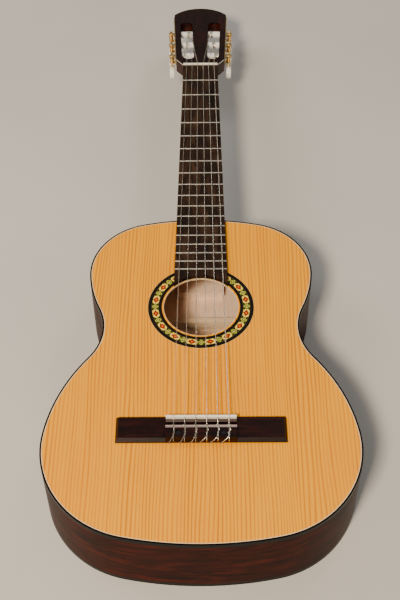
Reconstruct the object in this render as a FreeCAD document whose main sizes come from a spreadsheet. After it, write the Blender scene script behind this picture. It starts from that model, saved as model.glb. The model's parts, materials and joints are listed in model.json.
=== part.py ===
import FreeCAD, Part
import math
import os
import Sketcher
from FreeCAD import Placement, Rotation, Vector

# Six-string classical guitar lying on its back.
# Frame: +Z up, out of the soundboard; +Y along the neck towards the head;
# the flat back rests on Z = 0 and the origin is the middle of the guitar's
# bounding rectangle. All lengths are in millimetres, all angles in degrees.

# ---------------------------------------------------------------- sizes
SIZES = [
    # strings
    ("scale_length", 650.0, "saddle to nut"),
    ("saddle_y", -341.45, "saddle line in this frame"),
    ("nut_spacing", 8.28, "string to string at the nut"),
    ("saddle_spacing", 12.6, "string to string at the saddle"),
    ("nut_string_height", 7.2, "string underside above the soundboard at the nut"),
    ("saddle_height", 11.0, "saddle top above the soundboard"),
    # body outline: a chain of tangent arcs down one side, tail arc closes it
    ("body_top", 323.9, "top edge of the body above the saddle line"),
    ("top_radius", 337.1, "arc at the neck"),
    ("top_sweep", 12.9, ""),
    ("shoulder_radius", 86.3, ""),
    ("shoulder_sweep", 80.9, ""),
    ("upper_radius", 160.2, "arc into the waist"),
    ("upper_sweep", 21.0, ""),
    ("waist_radius", 74.8, "hollow arc"),
    ("waist_sweep", 62.5, ""),
    ("lower_radius", 225.5, "arc out of the waist"),
    ("lower_sweep", 30.1, ""),
    ("bout_radius", 119.8, ""),
    ("bout_sweep", 85.9, ""),
    # box
    ("body_depth", 95.0, "back face to soundboard face"),
    ("top_thickness", 2.5, "soundboard"),
    ("back_thickness", 2.5, ""),
    ("rib_thickness", 2.0, "bent sides, and the bindings let into their edges"),
    ("binding_height", 6.0, ""),
    ("lining_width", 6.0, ""),
    ("lining_height", 14.0, ""),
    # sound hole
    ("hole_y", 171.9, "centre above the saddle line"),
    ("hole_radius", 46.6, ""),
    ("rosette_inner", 48.8, ""),
    ("rosette_outer", 66.4, ""),
    ("rosette_depth", 1.2, ""),
    ("patch_outer", 59.8, "ring glued under the soundboard round the hole"),
    ("patch_thickness", 2.0, ""),
    # blocks and braces inside
    ("foot_half", 30.0, "half width of the block under the neck"),
    ("foot_y", 300.0, "its face towards the hole, above the saddle line"),
    ("foot_toe_y", 264.0, "front of its toe along the back"),
    ("foot_toe_top", 14.0, "toe above the back's outer face"),
    ("tail_block_half", 32.0, ""),
    ("tail_block_front", -141.0, "from the saddle line"),
    ("bar_height", 15.0, "cross braces"),
    ("fan_height", 6.0, "fan braces"),
    ("fan_half", 3.0, ""),
    ("fan_tail_pitch", 44.0, "fan brace to fan brace at the tail"),
    ("fan_front_pitch", 26.0, "the same near the hole"),
    # neck
    ("neck_depth_nut", 16.5, "wood under the fingerboard at the nut"),
    ("neck_depth_heel", 19.0, "the same at the heel"),
    ("board_thickness", 6.0, "fingerboard"),
    ("board_width_nut", 52.0, ""),
    ("board_width_end", 68.0, ""),
    ("board_end_y", 204.6, "corners of the fingerboard above the saddle line"),
    ("board_end_radius", 47.1, "hollow end, round the sound hole"),
    ("fret_count", 18, ""),
    ("fret_height", 0.9, ""),
    ("fret_width", 2.3, ""),
    ("fret_tang", 0.6, ""),
    ("fret_tang_depth", 1.6, ""),
    ("nut_thickness", 6.0, ""),
    ("nut_height", 7.9, "above the soundboard plane"),
    ("heel_width", 58.0, "at the top"),
    ("heel_cap_width", 23.0, ""),
    ("heel_reach", 40.0, "how far the heel stands out at the top"),
    ("heel_cap_thickness", 3.0, ""),
    # head
    ("head_tilt", 8.0, ""),
    ("head_step", 1.5, "veneer face above the neck plane at the nut"),
    ("head_thickness", 20.0, "with the veneer"),
    ("veneer_thickness", 2.0, ""),
    ("head_shoulder_s", 17.0, "along the head from the nut"),
    ("head_shoulder_half", 37.2, ""),
    ("head_corner_s", 164.0, ""),
    ("head_corner_half", 42.4, ""),
    ("head_length", 187.0, "nut to the middle of the crown"),
    ("slot_width", 19.0, ""),
    ("slot_start", 19.0, ""),
    ("slot_end", 138.0, ""),
    ("slot_x_start", 18.7, "slot middle at the nut end"),
    ("slot_x_end", 22.8, "slot middle at the crown end"),
    # bridge
    ("bridge_length", 195.0, ""),
    ("bridge_front", 2.5, "above the saddle line"),
    ("bridge_back", -30.0, ""),
    ("wing_height", 5.5, ""),
    ("wing_bevel", 3.5, ""),
    ("centre_half", 40.6, "half length of the raised middle"),
    ("block_front", -11.4, "front edge of the tie block"),
    ("block_height", 9.0, ""),
    ("lip_height", 6.0, "wood behind the saddle"),
    ("valley_height", 2.6, "between the lip and the tie block"),
    ("saddle_thickness", 3.0, ""),
    ("saddle_length", 80.8, ""),
    ("saddle_sink", 3.0, "saddle below the lip"),
    ("trim_width", 3.4, "inlaid strip on the tie block"),
    ("trim_depth", 1.0, ""),
    ("tie_hole_radius", 0.8, ""),
    ("tie_hole_height", 4.6, ""),
    ("bolt_x", 25.7, ""),
    ("bolt_y", -21.2, ""),
    ("bolt_head_radius", 3.6, ""),
    ("bolt_shank_radius", 1.9, ""),
    ("bolt_sink", 3.0, "recess for the bolt's head"),
    ("bolt_head_height", 1.8, ""),
    ("bolt_length", 22.0, "under the head"),
    ("bolt_nut_radius", 5.5, ""),
    ("bolt_nut_height", 3.5, ""),
    # tuning machines
    ("machine_pitch", 35.0, ""),
    ("machine_first", 41.0, "first roller along the head"),
    ("roller_radius", 5.0, ""),
    ("roller_drop", 8.0, "roller axis below the head's face"),
    ("roller_pin_radius", 3.0, "pin through the plate and into the web"),
    ("running_gap", 0.05, "radial clearance of every bearing"),
    ("plate_thickness", 1.2, ""),
    ("plate_start", 24.0, ""),
    ("plate_end", 160.0, ""),
    ("plate_half_height", 6.2, ""),
    ("gear_teeth", 14, ""),
    ("gear_pitch", 2.4, "tooth to tooth, and the worm's lead"),
    ("gear_thickness", 4.4, ""),
    ("gear_stand", 6.5, "middle of the gear off the head's side"),
    ("worm_radius", 2.6, "at the pitch line"),
    ("worm_shaft_radius", 1.5, ""),
    ("button_top", -21.6, "from the head's face"),
    ("button_length", 19.5, ""),
    ("button_width", 18.0, ""),
    ("button_thickness", 8.0, ""),
]

doc = FreeCAD.newDocument("classical_guitar")
sheet = doc.addObject("Spreadsheet::Sheet", "Sizes")
for row, (alias, number, note) in enumerate(SIZES, 1):
    sheet.set(f"A{row}", alias)
    sheet.set(f"B{row}", str(number))
    sheet.set(f"C{row}", note)
    sheet.setAlias(f"B{row}", alias)
doc.recompute()

NODES = {}


def size(alias):
    """A number of the sheet."""
    return float(sheet.get(alias))


def keep(thing, label):
    """Name an object as a finished sub-part."""
    thing.Label = label
    NODES[label] = thing
    return thing


# ------------------------------------------------- helpers for documents
def make_body(name):
    return doc.addObject("PartDesign::Body", name)


def make_sketch(body, role, name, offset=None):
    """A sketch on one of the body's own origin planes, lifted by an expression."""
    plane = [f for f in body.Origin.OriginFeatures if f.Role == role][0]
    sketch = body.newObject("Sketcher::SketchObject", name)
    sketch.AttachmentSupport = [(plane, "")]
    sketch.MapMode = "FlatFace"
    if offset is not None:
        sketch.setExpression("AttachmentOffset.Base.z", offset)
    return sketch


def draw_rectangle(sketch, low_x, high_x, low_y, high_y):
    """Four lines held by distances from the origin; the limits are expressions."""
    x0, x1, y0, y1 = [float(sheet.evalExpression(e)) for e in (low_x, high_x, low_y, high_y)]
    corners = [Vector(x0, y0), Vector(x1, y0), Vector(x1, y1), Vector(x0, y1)]
    first = sketch.GeometryCount
    for i in range(4):
        sketch.addGeometry(Part.LineSegment(corners[i], corners[(i + 1) % 4]))
    for i in range(4):
        sketch.addConstraint(Sketcher.Constraint("Coincident", first + i, 2, first + (i + 1) % 4, 1))
    for i, kind in enumerate(("Horizontal", "Vertical", "Horizontal", "Vertical")):
        sketch.addConstraint(Sketcher.Constraint(kind, first + i))
    limits = [("DistanceX", 0, x0, low_x), ("DistanceX", 1, x1, high_x),
              ("DistanceY", 0, y0, low_y), ("DistanceY", 2, y1, high_y)]
    for kind, line, number, expression in limits:
        index = sketch.addConstraint(Sketcher.Constraint(kind, -1, 1, first + line, 1, number))
        sketch.setExpression(f"Constraints[{index}]", expression)


def draw_circle(sketch, x, y, radius):
    """A circle held by its centre and radius, all three expressions."""
    cx, cy, r = [float(sheet.evalExpression(e)) for e in (x, y, radius)]
    circle = sketch.addGeometry(Part.Circle(Vector(cx, cy), Vector(0, 0, 1), r))
    for kind, number, expression in (("DistanceX", cx, x), ("DistanceY", cy, y)):
        index = sketch.addConstraint(Sketcher.Constraint(kind, -1, 1, circle, 3, number))
        sketch.setExpression(f"Constraints[{index}]", expression)
    index = sketch.addConstraint(Sketcher.Constraint("Radius", circle, r))
    sketch.setExpression(f"Constraints[{index}]", radius)


def draw_chain(sketch, pieces):
    """Lines and arcs already worked out from the sheet, joined end to end."""
    first = sketch.GeometryCount
    for piece in pieces:
        sketch.addGeometry(piece)
    count = len(pieces)
    for i in range(count):
        one = first + i
        two = first + (i + 1) % count
        ends = [(sketch.getPoint(one, a).distanceToPoint(sketch.getPoint(two, b)), a, b)
                for a in (1, 2) for b in (1, 2)]
        gap, a, b = min(ends)
        sketch.addConstraint(Sketcher.Constraint("Coincident", one, a, two, b))


def polygon(points):
    return [Part.LineSegment(a, b) for a, b in zip(points, points[1:] + points[:1])]


def pad(body, sketch, name, length):
    feature = body.newObject("PartDesign::Pad", name)
    feature.Profile = sketch
    feature.setExpression("Length", length)
    return feature


def pocket(body, sketch, name, depth):
    """A cut below the sketch, which must take material away."""
    before = body.Tip.Shape.Volume
    feature = body.newObject("PartDesign::Pocket", name)
    feature.Profile = sketch
    feature.setExpression("Length", depth)
    doc.recompute()
    if feature.Shape.Volume > before - 1e-6:
        raise RuntimeError(f"{name} cuts nothing")
    return feature


def feature_of(shape, label, placement=None):
    """A sub-part whose shape is worked out in code."""
    thing = doc.addObject("Part::Feature", label)
    thing.Shape = shape
    if placement is not None:
        thing.Placement = placement.multiply(shape.Placement)
    return keep(thing, label)


# --------------------------------------------------- helpers for shapes
def prism(edges, z_low, z_high):
    """A flat outline drawn at Z = 0, carried from z_low to z_high."""
    wire = Part.Wire([e.toShape() for e in edges])
    wire.translate(Vector(0, 0, z_low))
    return Part.Face(wire).extrude(Vector(0, 0, z_high - z_low))


def block(x0, x1, y0, y1, z0, z1):
    return Part.makeBox(x1 - x0, y1 - y0, z1 - z0, Vector(x0, y0, z0))


def mirrored(shape):
    """The same shape on the other side of X = 0."""
    return shape.mirror(Vector(0, 0, 0), Vector(1, 0, 0))


SADDLE_Y = size("saddle_y")
TOP_Z = size("body_depth")
NUT_Y = SADDLE_Y + size("scale_length")
HEAD_Y = NUT_Y + size("nut_thickness")
BIG = 1000.0


def half_outline(inset):
    """One side of the body, neck to tail, as tangent arcs moved inwards by inset."""
    x = 0.0
    y = SADDLE_Y + size("body_top") - inset
    heading = 0.0
    chain = [(size(n + "_radius"), size(n + "_sweep"), s)
             for n, s in (("top", 1), ("shoulder", 1), ("upper", 1), ("waist", -1),
                          ("lower", 1), ("bout", 1))]
    arcs = []
    for radius, sweep, sign in chain + [(None, None, 1)]:
        if radius is None:
            real_radius = -x / math.sin(heading)
            turn = math.pi + heading
        else:
            real_radius = radius - sign * inset
            turn = math.radians(sweep)
        r = sign * real_radius
        centre = Vector(x + r * math.sin(heading), y - r * math.cos(heading))
        stops = [heading - sign * turn * part for part in (0.0, 0.5, 1.0)]
        points = [Vector(centre.x - r * math.sin(a), centre.y + r * math.cos(a)) for a in stops]
        arcs.append(Part.Arc(*points))
        x, y, heading = points[2].x, points[2].y, stops[2]
    return arcs


def outline(inset):
    """The whole closed outline, clockwise from the neck."""
    right = half_outline(inset)
    left = []
    for arc in reversed(right):
        middle = (arc.FirstParameter + arc.LastParameter) / 2
        points = [arc.value(at) for at in (arc.LastParameter, middle, arc.FirstParameter)]
        left.append(Part.Arc(*[Vector(-p.x, p.y) for p in points]))
    return right + left


def ring(inset_outer, inset_inner, z_low, z_high):
    """A wall that follows the outline."""
    return prism(outline(inset_outer), z_low, z_high).cut(
        prism(outline(inset_inner), z_low - 1, z_high + 1))


def board_half(y_from_saddle):
    """Half width of the fingerboard; it tapers evenly from its end to the nut."""
    run = size("scale_length") - size("board_end_y")
    share = (size("scale_length") - y_from_saddle) / run
    return (size("board_width_nut") + share * (size("board_width_end") - size("board_width_nut"))) / 2


# ------------------------------------------------------------- the box
def make_soundboard():
    body = make_body("soundboard")
    sketch = make_sketch(body, "XY_Plane", "soundboard_outline", "Sizes.body_depth - Sizes.top_thickness")
    draw_chain(sketch, outline(size("rib_thickness")))
    pad(body, sketch, "soundboard_plate", "Sizes.top_thickness")
    doc.recompute()
    hole = make_sketch(body, "XY_Plane", "sound_hole", "Sizes.body_depth")
    draw_circle(hole, "0", "Sizes.saddle_y + Sizes.hole_y", "Sizes.hole_radius")
    pocket(body, hole, "sound_hole_cut", "Sizes.top_thickness + 1")
    channel = make_sketch(body, "XY_Plane", "rosette_channel", "Sizes.body_depth")
    for radius in ("Sizes.rosette_inner", "Sizes.rosette_outer"):
        draw_circle(channel, "0", "Sizes.saddle_y + Sizes.hole_y", radius)
    pocket(body, channel, "rosette_channel_cut", "Sizes.rosette_depth")
    bolts = make_sketch(body, "XY_Plane", "bolt_holes", "Sizes.body_depth")
    for side in ("-", ""):
        draw_circle(bolts, side + "Sizes.bolt_x", "Sizes.saddle_y + Sizes.bolt_y", "Sizes.bolt_shank_radius")
    pocket(body, bolts, "bolt_holes_cut", "Sizes.top_thickness + 1")
    keep(body, "soundboard")


def make_flat_ring(label, inner, outer, bottom, thickness, centre_y):
    """A washer lying flat: the rosette and the patch under it."""
    body = make_body(label)
    sketch = make_sketch(body, "XY_Plane", label + "_rings", bottom)
    for radius in (inner, outer):
        draw_circle(sketch, "0", centre_y, radius)
    pad(body, sketch, label + "_pad", thickness)
    keep(body, label)


def make_back():
    body = make_body("back")
    sketch = make_sketch(body, "XY_Plane", "back_outline")
    draw_chain(sketch, outline(size("rib_thickness")))
    pad(body, sketch, "back_plate", "Sizes.back_thickness")
    keep(body, "back")


def make_ribs(neck_and_heel):
    """Two bent sides that meet at the tail and run into the heel."""
    wall = ring(0.0, size("rib_thickness"), size("binding_height"), TOP_Z - size("binding_height"))
    wall = wall.cut(neck_and_heel)
    right = wall.common(block(0, BIG, -2 * BIG, 2 * BIG, -1, TOP_Z + 1))
    feature_of(right, "rib_right")
    feature_of(mirrored(right), "rib_left")


def make_edges(neck_and_heel):
    """Bindings let into the outer corners, linings glued inside the ribs."""
    binding = size("binding_height")
    thickness = size("rib_thickness")
    top = ring(0.0, thickness, TOP_Z - binding, TOP_Z).cut(neck_and_heel)
    feature_of(top, "top_binding")
    feature_of(ring(0.0, thickness, 0.0, binding).cut(neck_and_heel), "back_binding")
    width = size("lining_width")
    tall = size("lining_height")
    foot = size("foot_half") + 10.0
    tail = size("tail_block_half")
    foot_y = SADDLE_Y + size("foot_y")
    tail_y = SADDLE_Y + size("tail_block_front")
    clear = block(-foot, foot, foot_y - 10.0, BIG, -1, TOP_Z + 1)
    clear = clear.fuse(block(-tail, tail, -BIG, tail_y + 11.0, -1, TOP_Z + 1))
    plates = (("top_lining", TOP_Z - size("top_thickness") - tall, TOP_Z - size("top_thickness")),
              ("back_lining", size("back_thickness"), size("back_thickness") + tall))
    for label, low, high in plates:
        lining = ring(thickness, thickness + width, low, high).cut(clear)
        feature_of(lining, label)


def make_tail_block():
    """The block behind the tail seam, shaped to the curve of the ribs."""
    inside = prism(outline(size("rib_thickness")), size("back_thickness"), TOP_Z - size("top_thickness"))
    half = size("tail_block_half")
    front = SADDLE_Y + size("tail_block_front")
    piece = inside.common(block(-half, half, -2 * BIG, front, -1, TOP_Z + 1))
    feature_of(piece, "tail_block")


# Cross braces as (place above the saddle line, width along Y).
BACK_BRACES = ((-75.0, 16.0), (70.0, 14.0), (213.0, 8.0))
HARMONIC_BARS = ((106.0, 8.0), (240.0, 8.0), (285.0, 10.0))


def bar_across(y, width, low, high, inset):
    """A brace from lining to lining, thinned at both ends."""
    inside = prism(outline(inset), low, high)
    return inside.common(block(-BIG, BIG, y - width / 2, y + width / 2, low, high))


def make_braces():
    """Cross braces on the back and the soundboard, and seven fan braces behind the bridge."""
    inset = size("rib_thickness") + size("lining_width")
    ceiling = TOP_Z - size("top_thickness")
    floor = size("back_thickness")
    tall = size("bar_height")
    bars = [bar_across(SADDLE_Y + y, w, floor, floor + tall, inset) for y, w in BACK_BRACES]
    feature_of(Part.makeCompound(bars), "back_braces")
    bars = [bar_across(SADDLE_Y + y, w, ceiling - tall, ceiling, inset) for y, w in HARMONIC_BARS]
    feature_of(Part.makeCompound(bars), "harmonic_bars")
    fans = []
    bar_y, bar_width = HARMONIC_BARS[0]
    front_y = SADDLE_Y + bar_y - bar_width / 2 - 6.0
    for i in range(-3, 4):
        tail = Vector(i * size("fan_tail_pitch"), SADDLE_Y - 118 + abs(i) * 9.0)
        front = Vector(i * size("fan_front_pitch"), front_y)
        along = (front - tail).normalize()
        across = Vector(-along.y, along.x) * size("fan_half")
        points = [tail - across, front - across, front + across, tail + across]
        fans.append(prism(polygon(points), ceiling - size("fan_height"), ceiling))
    feature_of(Part.makeCompound(fans), "fan_braces")


# ------------------------------------------------------- neck and heel
def neck_section(y, half, depth):
    """Flat on top and half an ellipse below, standing across the neck."""
    ellipse = Part.Ellipse(Vector(0, 0), half, depth)
    arc = Part.ArcOfEllipse(ellipse, math.pi, 2 * math.pi).toShape()
    top = Part.makeLine(Vector(half, 0), Vector(-half, 0))
    wire = Part.Wire([arc, top])
    wire.Placement = Placement(Vector(0, y, TOP_Z), Rotation(Vector(1, 0, 0), 90))
    return wire


def heel_section(z, half, reach):
    """Straight along the body and half an ellipse towards the head, lying flat."""
    y = SADDLE_Y + size("foot_y")
    straight = 20.0
    steps = 12
    points = []
    for i in range(steps + 1):
        angle = math.pi * i / steps
        points.append(Vector(half * math.cos(angle), y + straight + reach * math.sin(angle), z))
    curve = Part.BSplineCurve()
    curve.interpolate(points)
    ends = [points[-1], Vector(-half, y, z), Vector(half, y, z), points[0]]
    sides = [Part.makeLine(a, b) for a, b in zip(ends, ends[1:])]
    return Part.Wire([curve.toShape()] + sides)


def make_neck():
    """Shaft from the head joint to the body; the body's curve ends it."""
    head_half = size("board_width_nut") / 2
    end_s = size("body_top") - 4.0
    end_half = board_half(end_s)
    sections = [neck_section(HEAD_Y, head_half, size("neck_depth_nut")),
                neck_section(SADDLE_Y + end_s, end_half, size("neck_depth_heel"))]
    shaft = Part.makeLoft(sections, True, True)
    shaft = shaft.cut(prism(outline(0.0), -1, TOP_Z + 5))
    feature_of(shaft, "neck")
    return shaft


WEB_HALF = 9.0


def make_heel(shaft):
    """Carved heel outside the box and the slipper foot inside it, joined by a web between the ribs."""
    cap = size("heel_cap_thickness")
    top_half = size("heel_width") / 2
    cap_half = size("heel_cap_width") / 2
    reach = size("heel_reach")
    levels = (0.0, 0.25, 0.55, 0.85, 1.0)
    sections = []
    for level in levels:
        z = cap + level * (TOP_Z - size("neck_depth_heel") + 6.0 - cap)
        half = cap_half + (top_half - cap_half) * level ** 1.6
        out = cap_half + (reach - cap_half) * level ** 3.0
        sections.append(heel_section(z, half, out))
    carved = Part.makeLoft(sections, True, False)
    carved = carved.cut(shaft).cut(prism(outline(0.0), -1, TOP_Z + 5))
    inner = prism(outline(size("rib_thickness")), size("back_thickness"), TOP_Z - size("top_thickness"))
    foot_half = size("foot_half")
    foot_y = SADDLE_Y + size("foot_y")
    toe_y = SADDLE_Y + size("foot_toe_y")
    foot = inner.common(block(-foot_half, foot_half, foot_y, BIG, -1, TOP_Z))
    toe = block(-foot_half, foot_half, toe_y, foot_y + 1, size("back_thickness"), size("foot_toe_top"))
    web = ring(0.0, size("rib_thickness"), size("binding_height"), TOP_Z - size("binding_height"))
    web = web.common(block(-WEB_HALF, WEB_HALF, foot_y, BIG, cap, TOP_Z))
    heel = carved.fuse([web, foot, toe]).removeSplitter()
    feature_of(heel, "heel")
    return heel


def make_heel_cap():
    """The thin plate that closes the end of the heel, level with the back."""
    section = heel_section(0.0, size("heel_cap_width") / 2, size("heel_cap_width") / 2)
    plate = Part.Face(section).extrude(Vector(0, 0, size("heel_cap_thickness")))
    plate = plate.cut(prism(outline(0.0), -1, TOP_Z))
    feature_of(plate, "heel_cap")


def make_fingerboard():
    body = make_body("fingerboard")
    sketch = make_sketch(body, "XY_Plane", "fingerboard_outline", "Sizes.body_depth")
    half_nut = size("board_width_nut") / 2
    half_end = size("board_width_end") / 2
    end_y = SADDLE_Y + size("board_end_y")
    radius = size("board_end_radius")
    hole_y = SADDLE_Y + size("hole_y")
    corner_y = hole_y + math.sqrt(radius ** 2 - half_end ** 2)
    if abs(corner_y - end_y) > 1.0:
        raise RuntimeError("fingerboard end and sound hole don't agree")
    points = [Vector(-half_end, corner_y), Vector(-half_nut, NUT_Y), Vector(half_nut, NUT_Y),
              Vector(half_end, corner_y)]
    edges = [Part.LineSegment(a, b) for a, b in zip(points, points[1:])]
    edges.append(Part.Arc(points[3], Vector(0, hole_y + radius), points[0]))
    draw_chain(sketch, edges)
    pad(body, sketch, "fingerboard_pad", "Sizes.board_thickness")
    doc.recompute()
    slots = make_sketch(body, "XY_Plane", "fret_slots", "Sizes.body_depth + Sizes.board_thickness")
    for number in range(1, int(size("fret_count")) + 1):
        place = f"Sizes.saddle_y + Sizes.scale_length / 2 ^ ({number} / 12)"
        draw_rectangle(slots, "-40", "40", place + " - Sizes.fret_tang / 2", place + " + Sizes.fret_tang / 2")
    pocket(body, slots, "fret_slots_cut", "Sizes.fret_tang_depth")
    keep(body, "fingerboard")


def make_frets():
    """T-shaped wire: a low crown on the board and a tang in its slot."""
    board_z = TOP_Z + size("board_thickness")
    half = size("fret_width") / 2
    tang = size("fret_tang") / 2
    wires = []
    for number in range(1, int(size("fret_count")) + 1):
        distance = size("scale_length") / 2 ** (number / 12)
        y = SADDLE_Y + distance
        reach = board_half(distance) - 0.2
        crown = Part.Arc(Vector(0, y - half, board_z), Vector(0, y, board_z + size("fret_height")),
                         Vector(0, y + half, board_z)).toShape()
        base = Part.makeLine(Vector(0, y + half, board_z), Vector(0, y - half, board_z))
        section = Part.Face(Part.Wire([crown, base]))
        section.translate(Vector(-reach, 0, 0))
        wire = section.extrude(Vector(2 * reach, 0, 0))
        depth = size("fret_tang_depth")
        wire = wire.fuse(block(-reach, reach, y - tang, y + tang, board_z - depth, board_z))
        wires.append(wire.removeSplitter())
    feature_of(Part.makeCompound(wires), "frets")


def string_x(number, spacing):
    """String 1 is the thin one at -X; string 6 the thick one at +X."""
    return (number - 3.5) * spacing


STRING_RADII = (0.36, 0.41, 0.51, 0.38, 0.46, 0.56)


def cut_object(label, base, tool):
    """A boolean cut kept in the document; its two inputs stay hidden inputs."""
    thing = doc.addObject("Part::Cut", label)
    thing.Base = base
    thing.Tool = tool
    return keep(thing, label)


def make_nut(strings):
    """Bone nut with a groove under every string."""
    body = make_body("nut_blank")
    sketch = make_sketch(body, "YZ_Plane", "nut_section", "-Sizes.board_width_nut / 2")
    low = TOP_Z
    high = TOP_Z + size("nut_height")
    thick = size("nut_thickness")
    points = [Vector(NUT_Y, low), Vector(NUT_Y, high - 0.4), Vector(NUT_Y + 0.8, high),
              Vector(NUT_Y + thick * 0.5, high), Vector(NUT_Y + thick, high - 2.2),
              Vector(NUT_Y + thick, low)]
    draw_chain(sketch, polygon(points))
    pad(body, sketch, "nut_pad", "Sizes.board_width_nut")
    tool = doc.addObject("Part::Feature", "string_grooves")
    tool.Shape = Part.makeCompound(strings)
    cut_object("nut", body, tool)


# -------------------------------------------------------------- bridge
def make_bridge():
    body = make_body("bridge")
    front = SADDLE_Y + size("bridge_front")
    back = SADDLE_Y + size("bridge_back")
    wing = TOP_Z + size("wing_height")
    bevel = size("wing_bevel")
    lip = TOP_Z + size("lip_height")
    valley = TOP_Z + size("valley_height")
    top = TOP_Z + size("block_height")
    block_front = SADDLE_Y + size("block_front")
    centre = [Vector(front, TOP_Z), Vector(front, lip), Vector(SADDLE_Y - 6.0, lip),
              Vector(SADDLE_Y - 7.0, valley), Vector(block_front, valley),
              Vector(block_front, top), Vector(back + 2.0, top), Vector(back, TOP_Z)]
    sketch = make_sketch(body, "YZ_Plane", "centre_section", "-Sizes.centre_half")
    draw_chain(sketch, polygon(centre))
    pad(body, sketch, "centre_pad", "Sizes.centre_half * 2")
    doc.recompute()
    wings = [Vector(front, TOP_Z), Vector(front, wing - 1.2), Vector(front - 1.0, wing),
             Vector(back + bevel, wing), Vector(back, wing - bevel), Vector(back, TOP_Z)]
    for side, start in (("right", "Sizes.centre_half"), ("left", "-Sizes.bridge_length / 2")):
        sketch = make_sketch(body, "YZ_Plane", side + "_wing_section", start)
        draw_chain(sketch, polygon(wings))
        pad(body, sketch, side + "_wing", "Sizes.bridge_length / 2 - Sizes.centre_half")
        doc.recompute()
    end = size("bridge_length") / 2
    sketch = make_sketch(body, "XZ_Plane", "end_bevels", "-Sizes.saddle_y + 40")
    for side in (-1, 1):
        corner = [Vector(side * (end - bevel), wing + 0.5), Vector(side * (end + 0.5), wing + 0.5),
                  Vector(side * (end + 0.5), wing - bevel), Vector(side * end, wing - bevel)]
        draw_chain(sketch, polygon(corner))
    pocket(body, sketch, "end_bevels_cut", "60")
    slot = make_sketch(body, "XY_Plane", "saddle_slot", "Sizes.body_depth + Sizes.lip_height")
    draw_rectangle(slot, "-Sizes.centre_half", "Sizes.centre_half",
                   "Sizes.saddle_y - Sizes.saddle_thickness / 2",
                   "Sizes.saddle_y + Sizes.saddle_thickness / 2")
    pocket(body, slot, "saddle_slot_cut", "Sizes.saddle_sink")
    rebate = make_sketch(body, "XY_Plane", "trim_rebate", "Sizes.body_depth + Sizes.block_height")
    draw_rectangle(rebate, "-Sizes.centre_half", "Sizes.centre_half",
                   "Sizes.saddle_y + Sizes.block_front - Sizes.trim_width",
                   "Sizes.saddle_y + Sizes.block_front")
    pocket(body, rebate, "trim_rebate_cut", "Sizes.trim_depth")
    holes = make_sketch(body, "XZ_Plane", "tie_holes", "-Sizes.saddle_y + 40")
    for number in range(1, 7):
        draw_circle(holes, f"{number - 3.5} * Sizes.saddle_spacing",
                    "Sizes.body_depth + Sizes.tie_hole_height", "Sizes.tie_hole_radius")
    pocket(body, holes, "tie_holes_cut", "32")
    for name, radius, depth in (("bolt_recess", "Sizes.bolt_head_radius", "Sizes.bolt_sink"),
                                ("bolt_hole", "Sizes.bolt_shank_radius", "Sizes.block_height + 10")):
        sketch = make_sketch(body, "XY_Plane", name, "Sizes.body_depth + Sizes.block_height")
        for side in ("-", ""):
            draw_circle(sketch, side + "Sizes.bolt_x", "Sizes.saddle_y + Sizes.bolt_y", radius)
        pocket(body, sketch, name + "_cut", depth)
    keep(body, "bridge")


def make_saddle():
    """A bone strip with a round top, standing in its slot."""
    body = make_body("saddle")
    sketch = make_sketch(body, "YZ_Plane", "saddle_section", "-Sizes.saddle_length / 2")
    half = size("saddle_thickness") / 2
    low = TOP_Z + size("lip_height") - size("saddle_sink")
    crest = TOP_Z + size("saddle_height")
    points = [Vector(SADDLE_Y + half, crest - half), Vector(SADDLE_Y + half, low),
              Vector(SADDLE_Y - half, low), Vector(SADDLE_Y - half, crest - half)]
    edges = [Part.LineSegment(a, b) for a, b in zip(points, points[1:])]
    edges.append(Part.Arc(points[3], Vector(SADDLE_Y, crest), points[0]))
    draw_chain(sketch, edges)
    pad(body, sketch, "saddle_pad", "Sizes.saddle_length")
    keep(body, "saddle")


def make_trim():
    body = make_body("tie_block_trim")
    sketch = make_sketch(body, "XY_Plane", "trim_outline",
                         "Sizes.body_depth + Sizes.block_height - Sizes.trim_depth")
    draw_rectangle(sketch, "-Sizes.centre_half", "Sizes.centre_half",
                   "Sizes.saddle_y + Sizes.block_front - Sizes.trim_width",
                   "Sizes.saddle_y + Sizes.block_front")
    pad(body, sketch, "trim_pad", "Sizes.trim_depth")
    keep(body, "tie_block_trim")


def cylinder(name, radius, height, x, y, z):
    """A standing cylinder whose sizes and place are expressions."""
    thing = doc.addObject("Part::Cylinder", name)
    thing.setExpression("Radius", radius)
    thing.setExpression("Height", height)
    for axis, expression in (("x", x), ("y", y), ("z", z)):
        thing.setExpression(f"Placement.Base.{axis}", expression)
    return thing


def make_bridge_bolts():
    """Two round-headed bolts through the bridge, each with a nut under the soundboard."""
    solids = []
    y = "Sizes.saddle_y + Sizes.bolt_y"
    seat = "Sizes.body_depth + Sizes.block_height - Sizes.bolt_sink"
    under = "Sizes.body_depth - Sizes.top_thickness - Sizes.bolt_nut_height"
    for side, sign in (("left", "-"), ("right", "")):
        x = sign + "Sizes.bolt_x"
        head = cylinder(f"bolt_head_{side}", "Sizes.bolt_head_radius - 0.1", "Sizes.bolt_head_height",
                        x, y, seat)
        shank = cylinder(f"bolt_shank_{side}", "Sizes.bolt_shank_radius - 0.1", "Sizes.bolt_length",
                         x, y, seat + " - Sizes.bolt_length")
        bolt = doc.addObject("Part::MultiFuse", f"bolt_{side}")
        bolt.Shapes = [head, shank]
        blank = cylinder(f"nut_blank_{side}", "Sizes.bolt_nut_radius", "Sizes.bolt_nut_height", x, y, under)
        bore = cylinder(f"nut_bore_{side}", "Sizes.bolt_shank_radius - 0.1", "Sizes.bolt_nut_height + 1",
                        x, y, under + " - 0.5")
        nut = doc.addObject("Part::Cut", f"bolt_nut_{side}")
        nut.Base = blank
        nut.Tool = bore
        solids += [bolt, nut]
    group = doc.addObject("Part::Compound", "bridge_bolts")
    group.Links = solids
    keep(group, "bridge_bolts")


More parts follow.
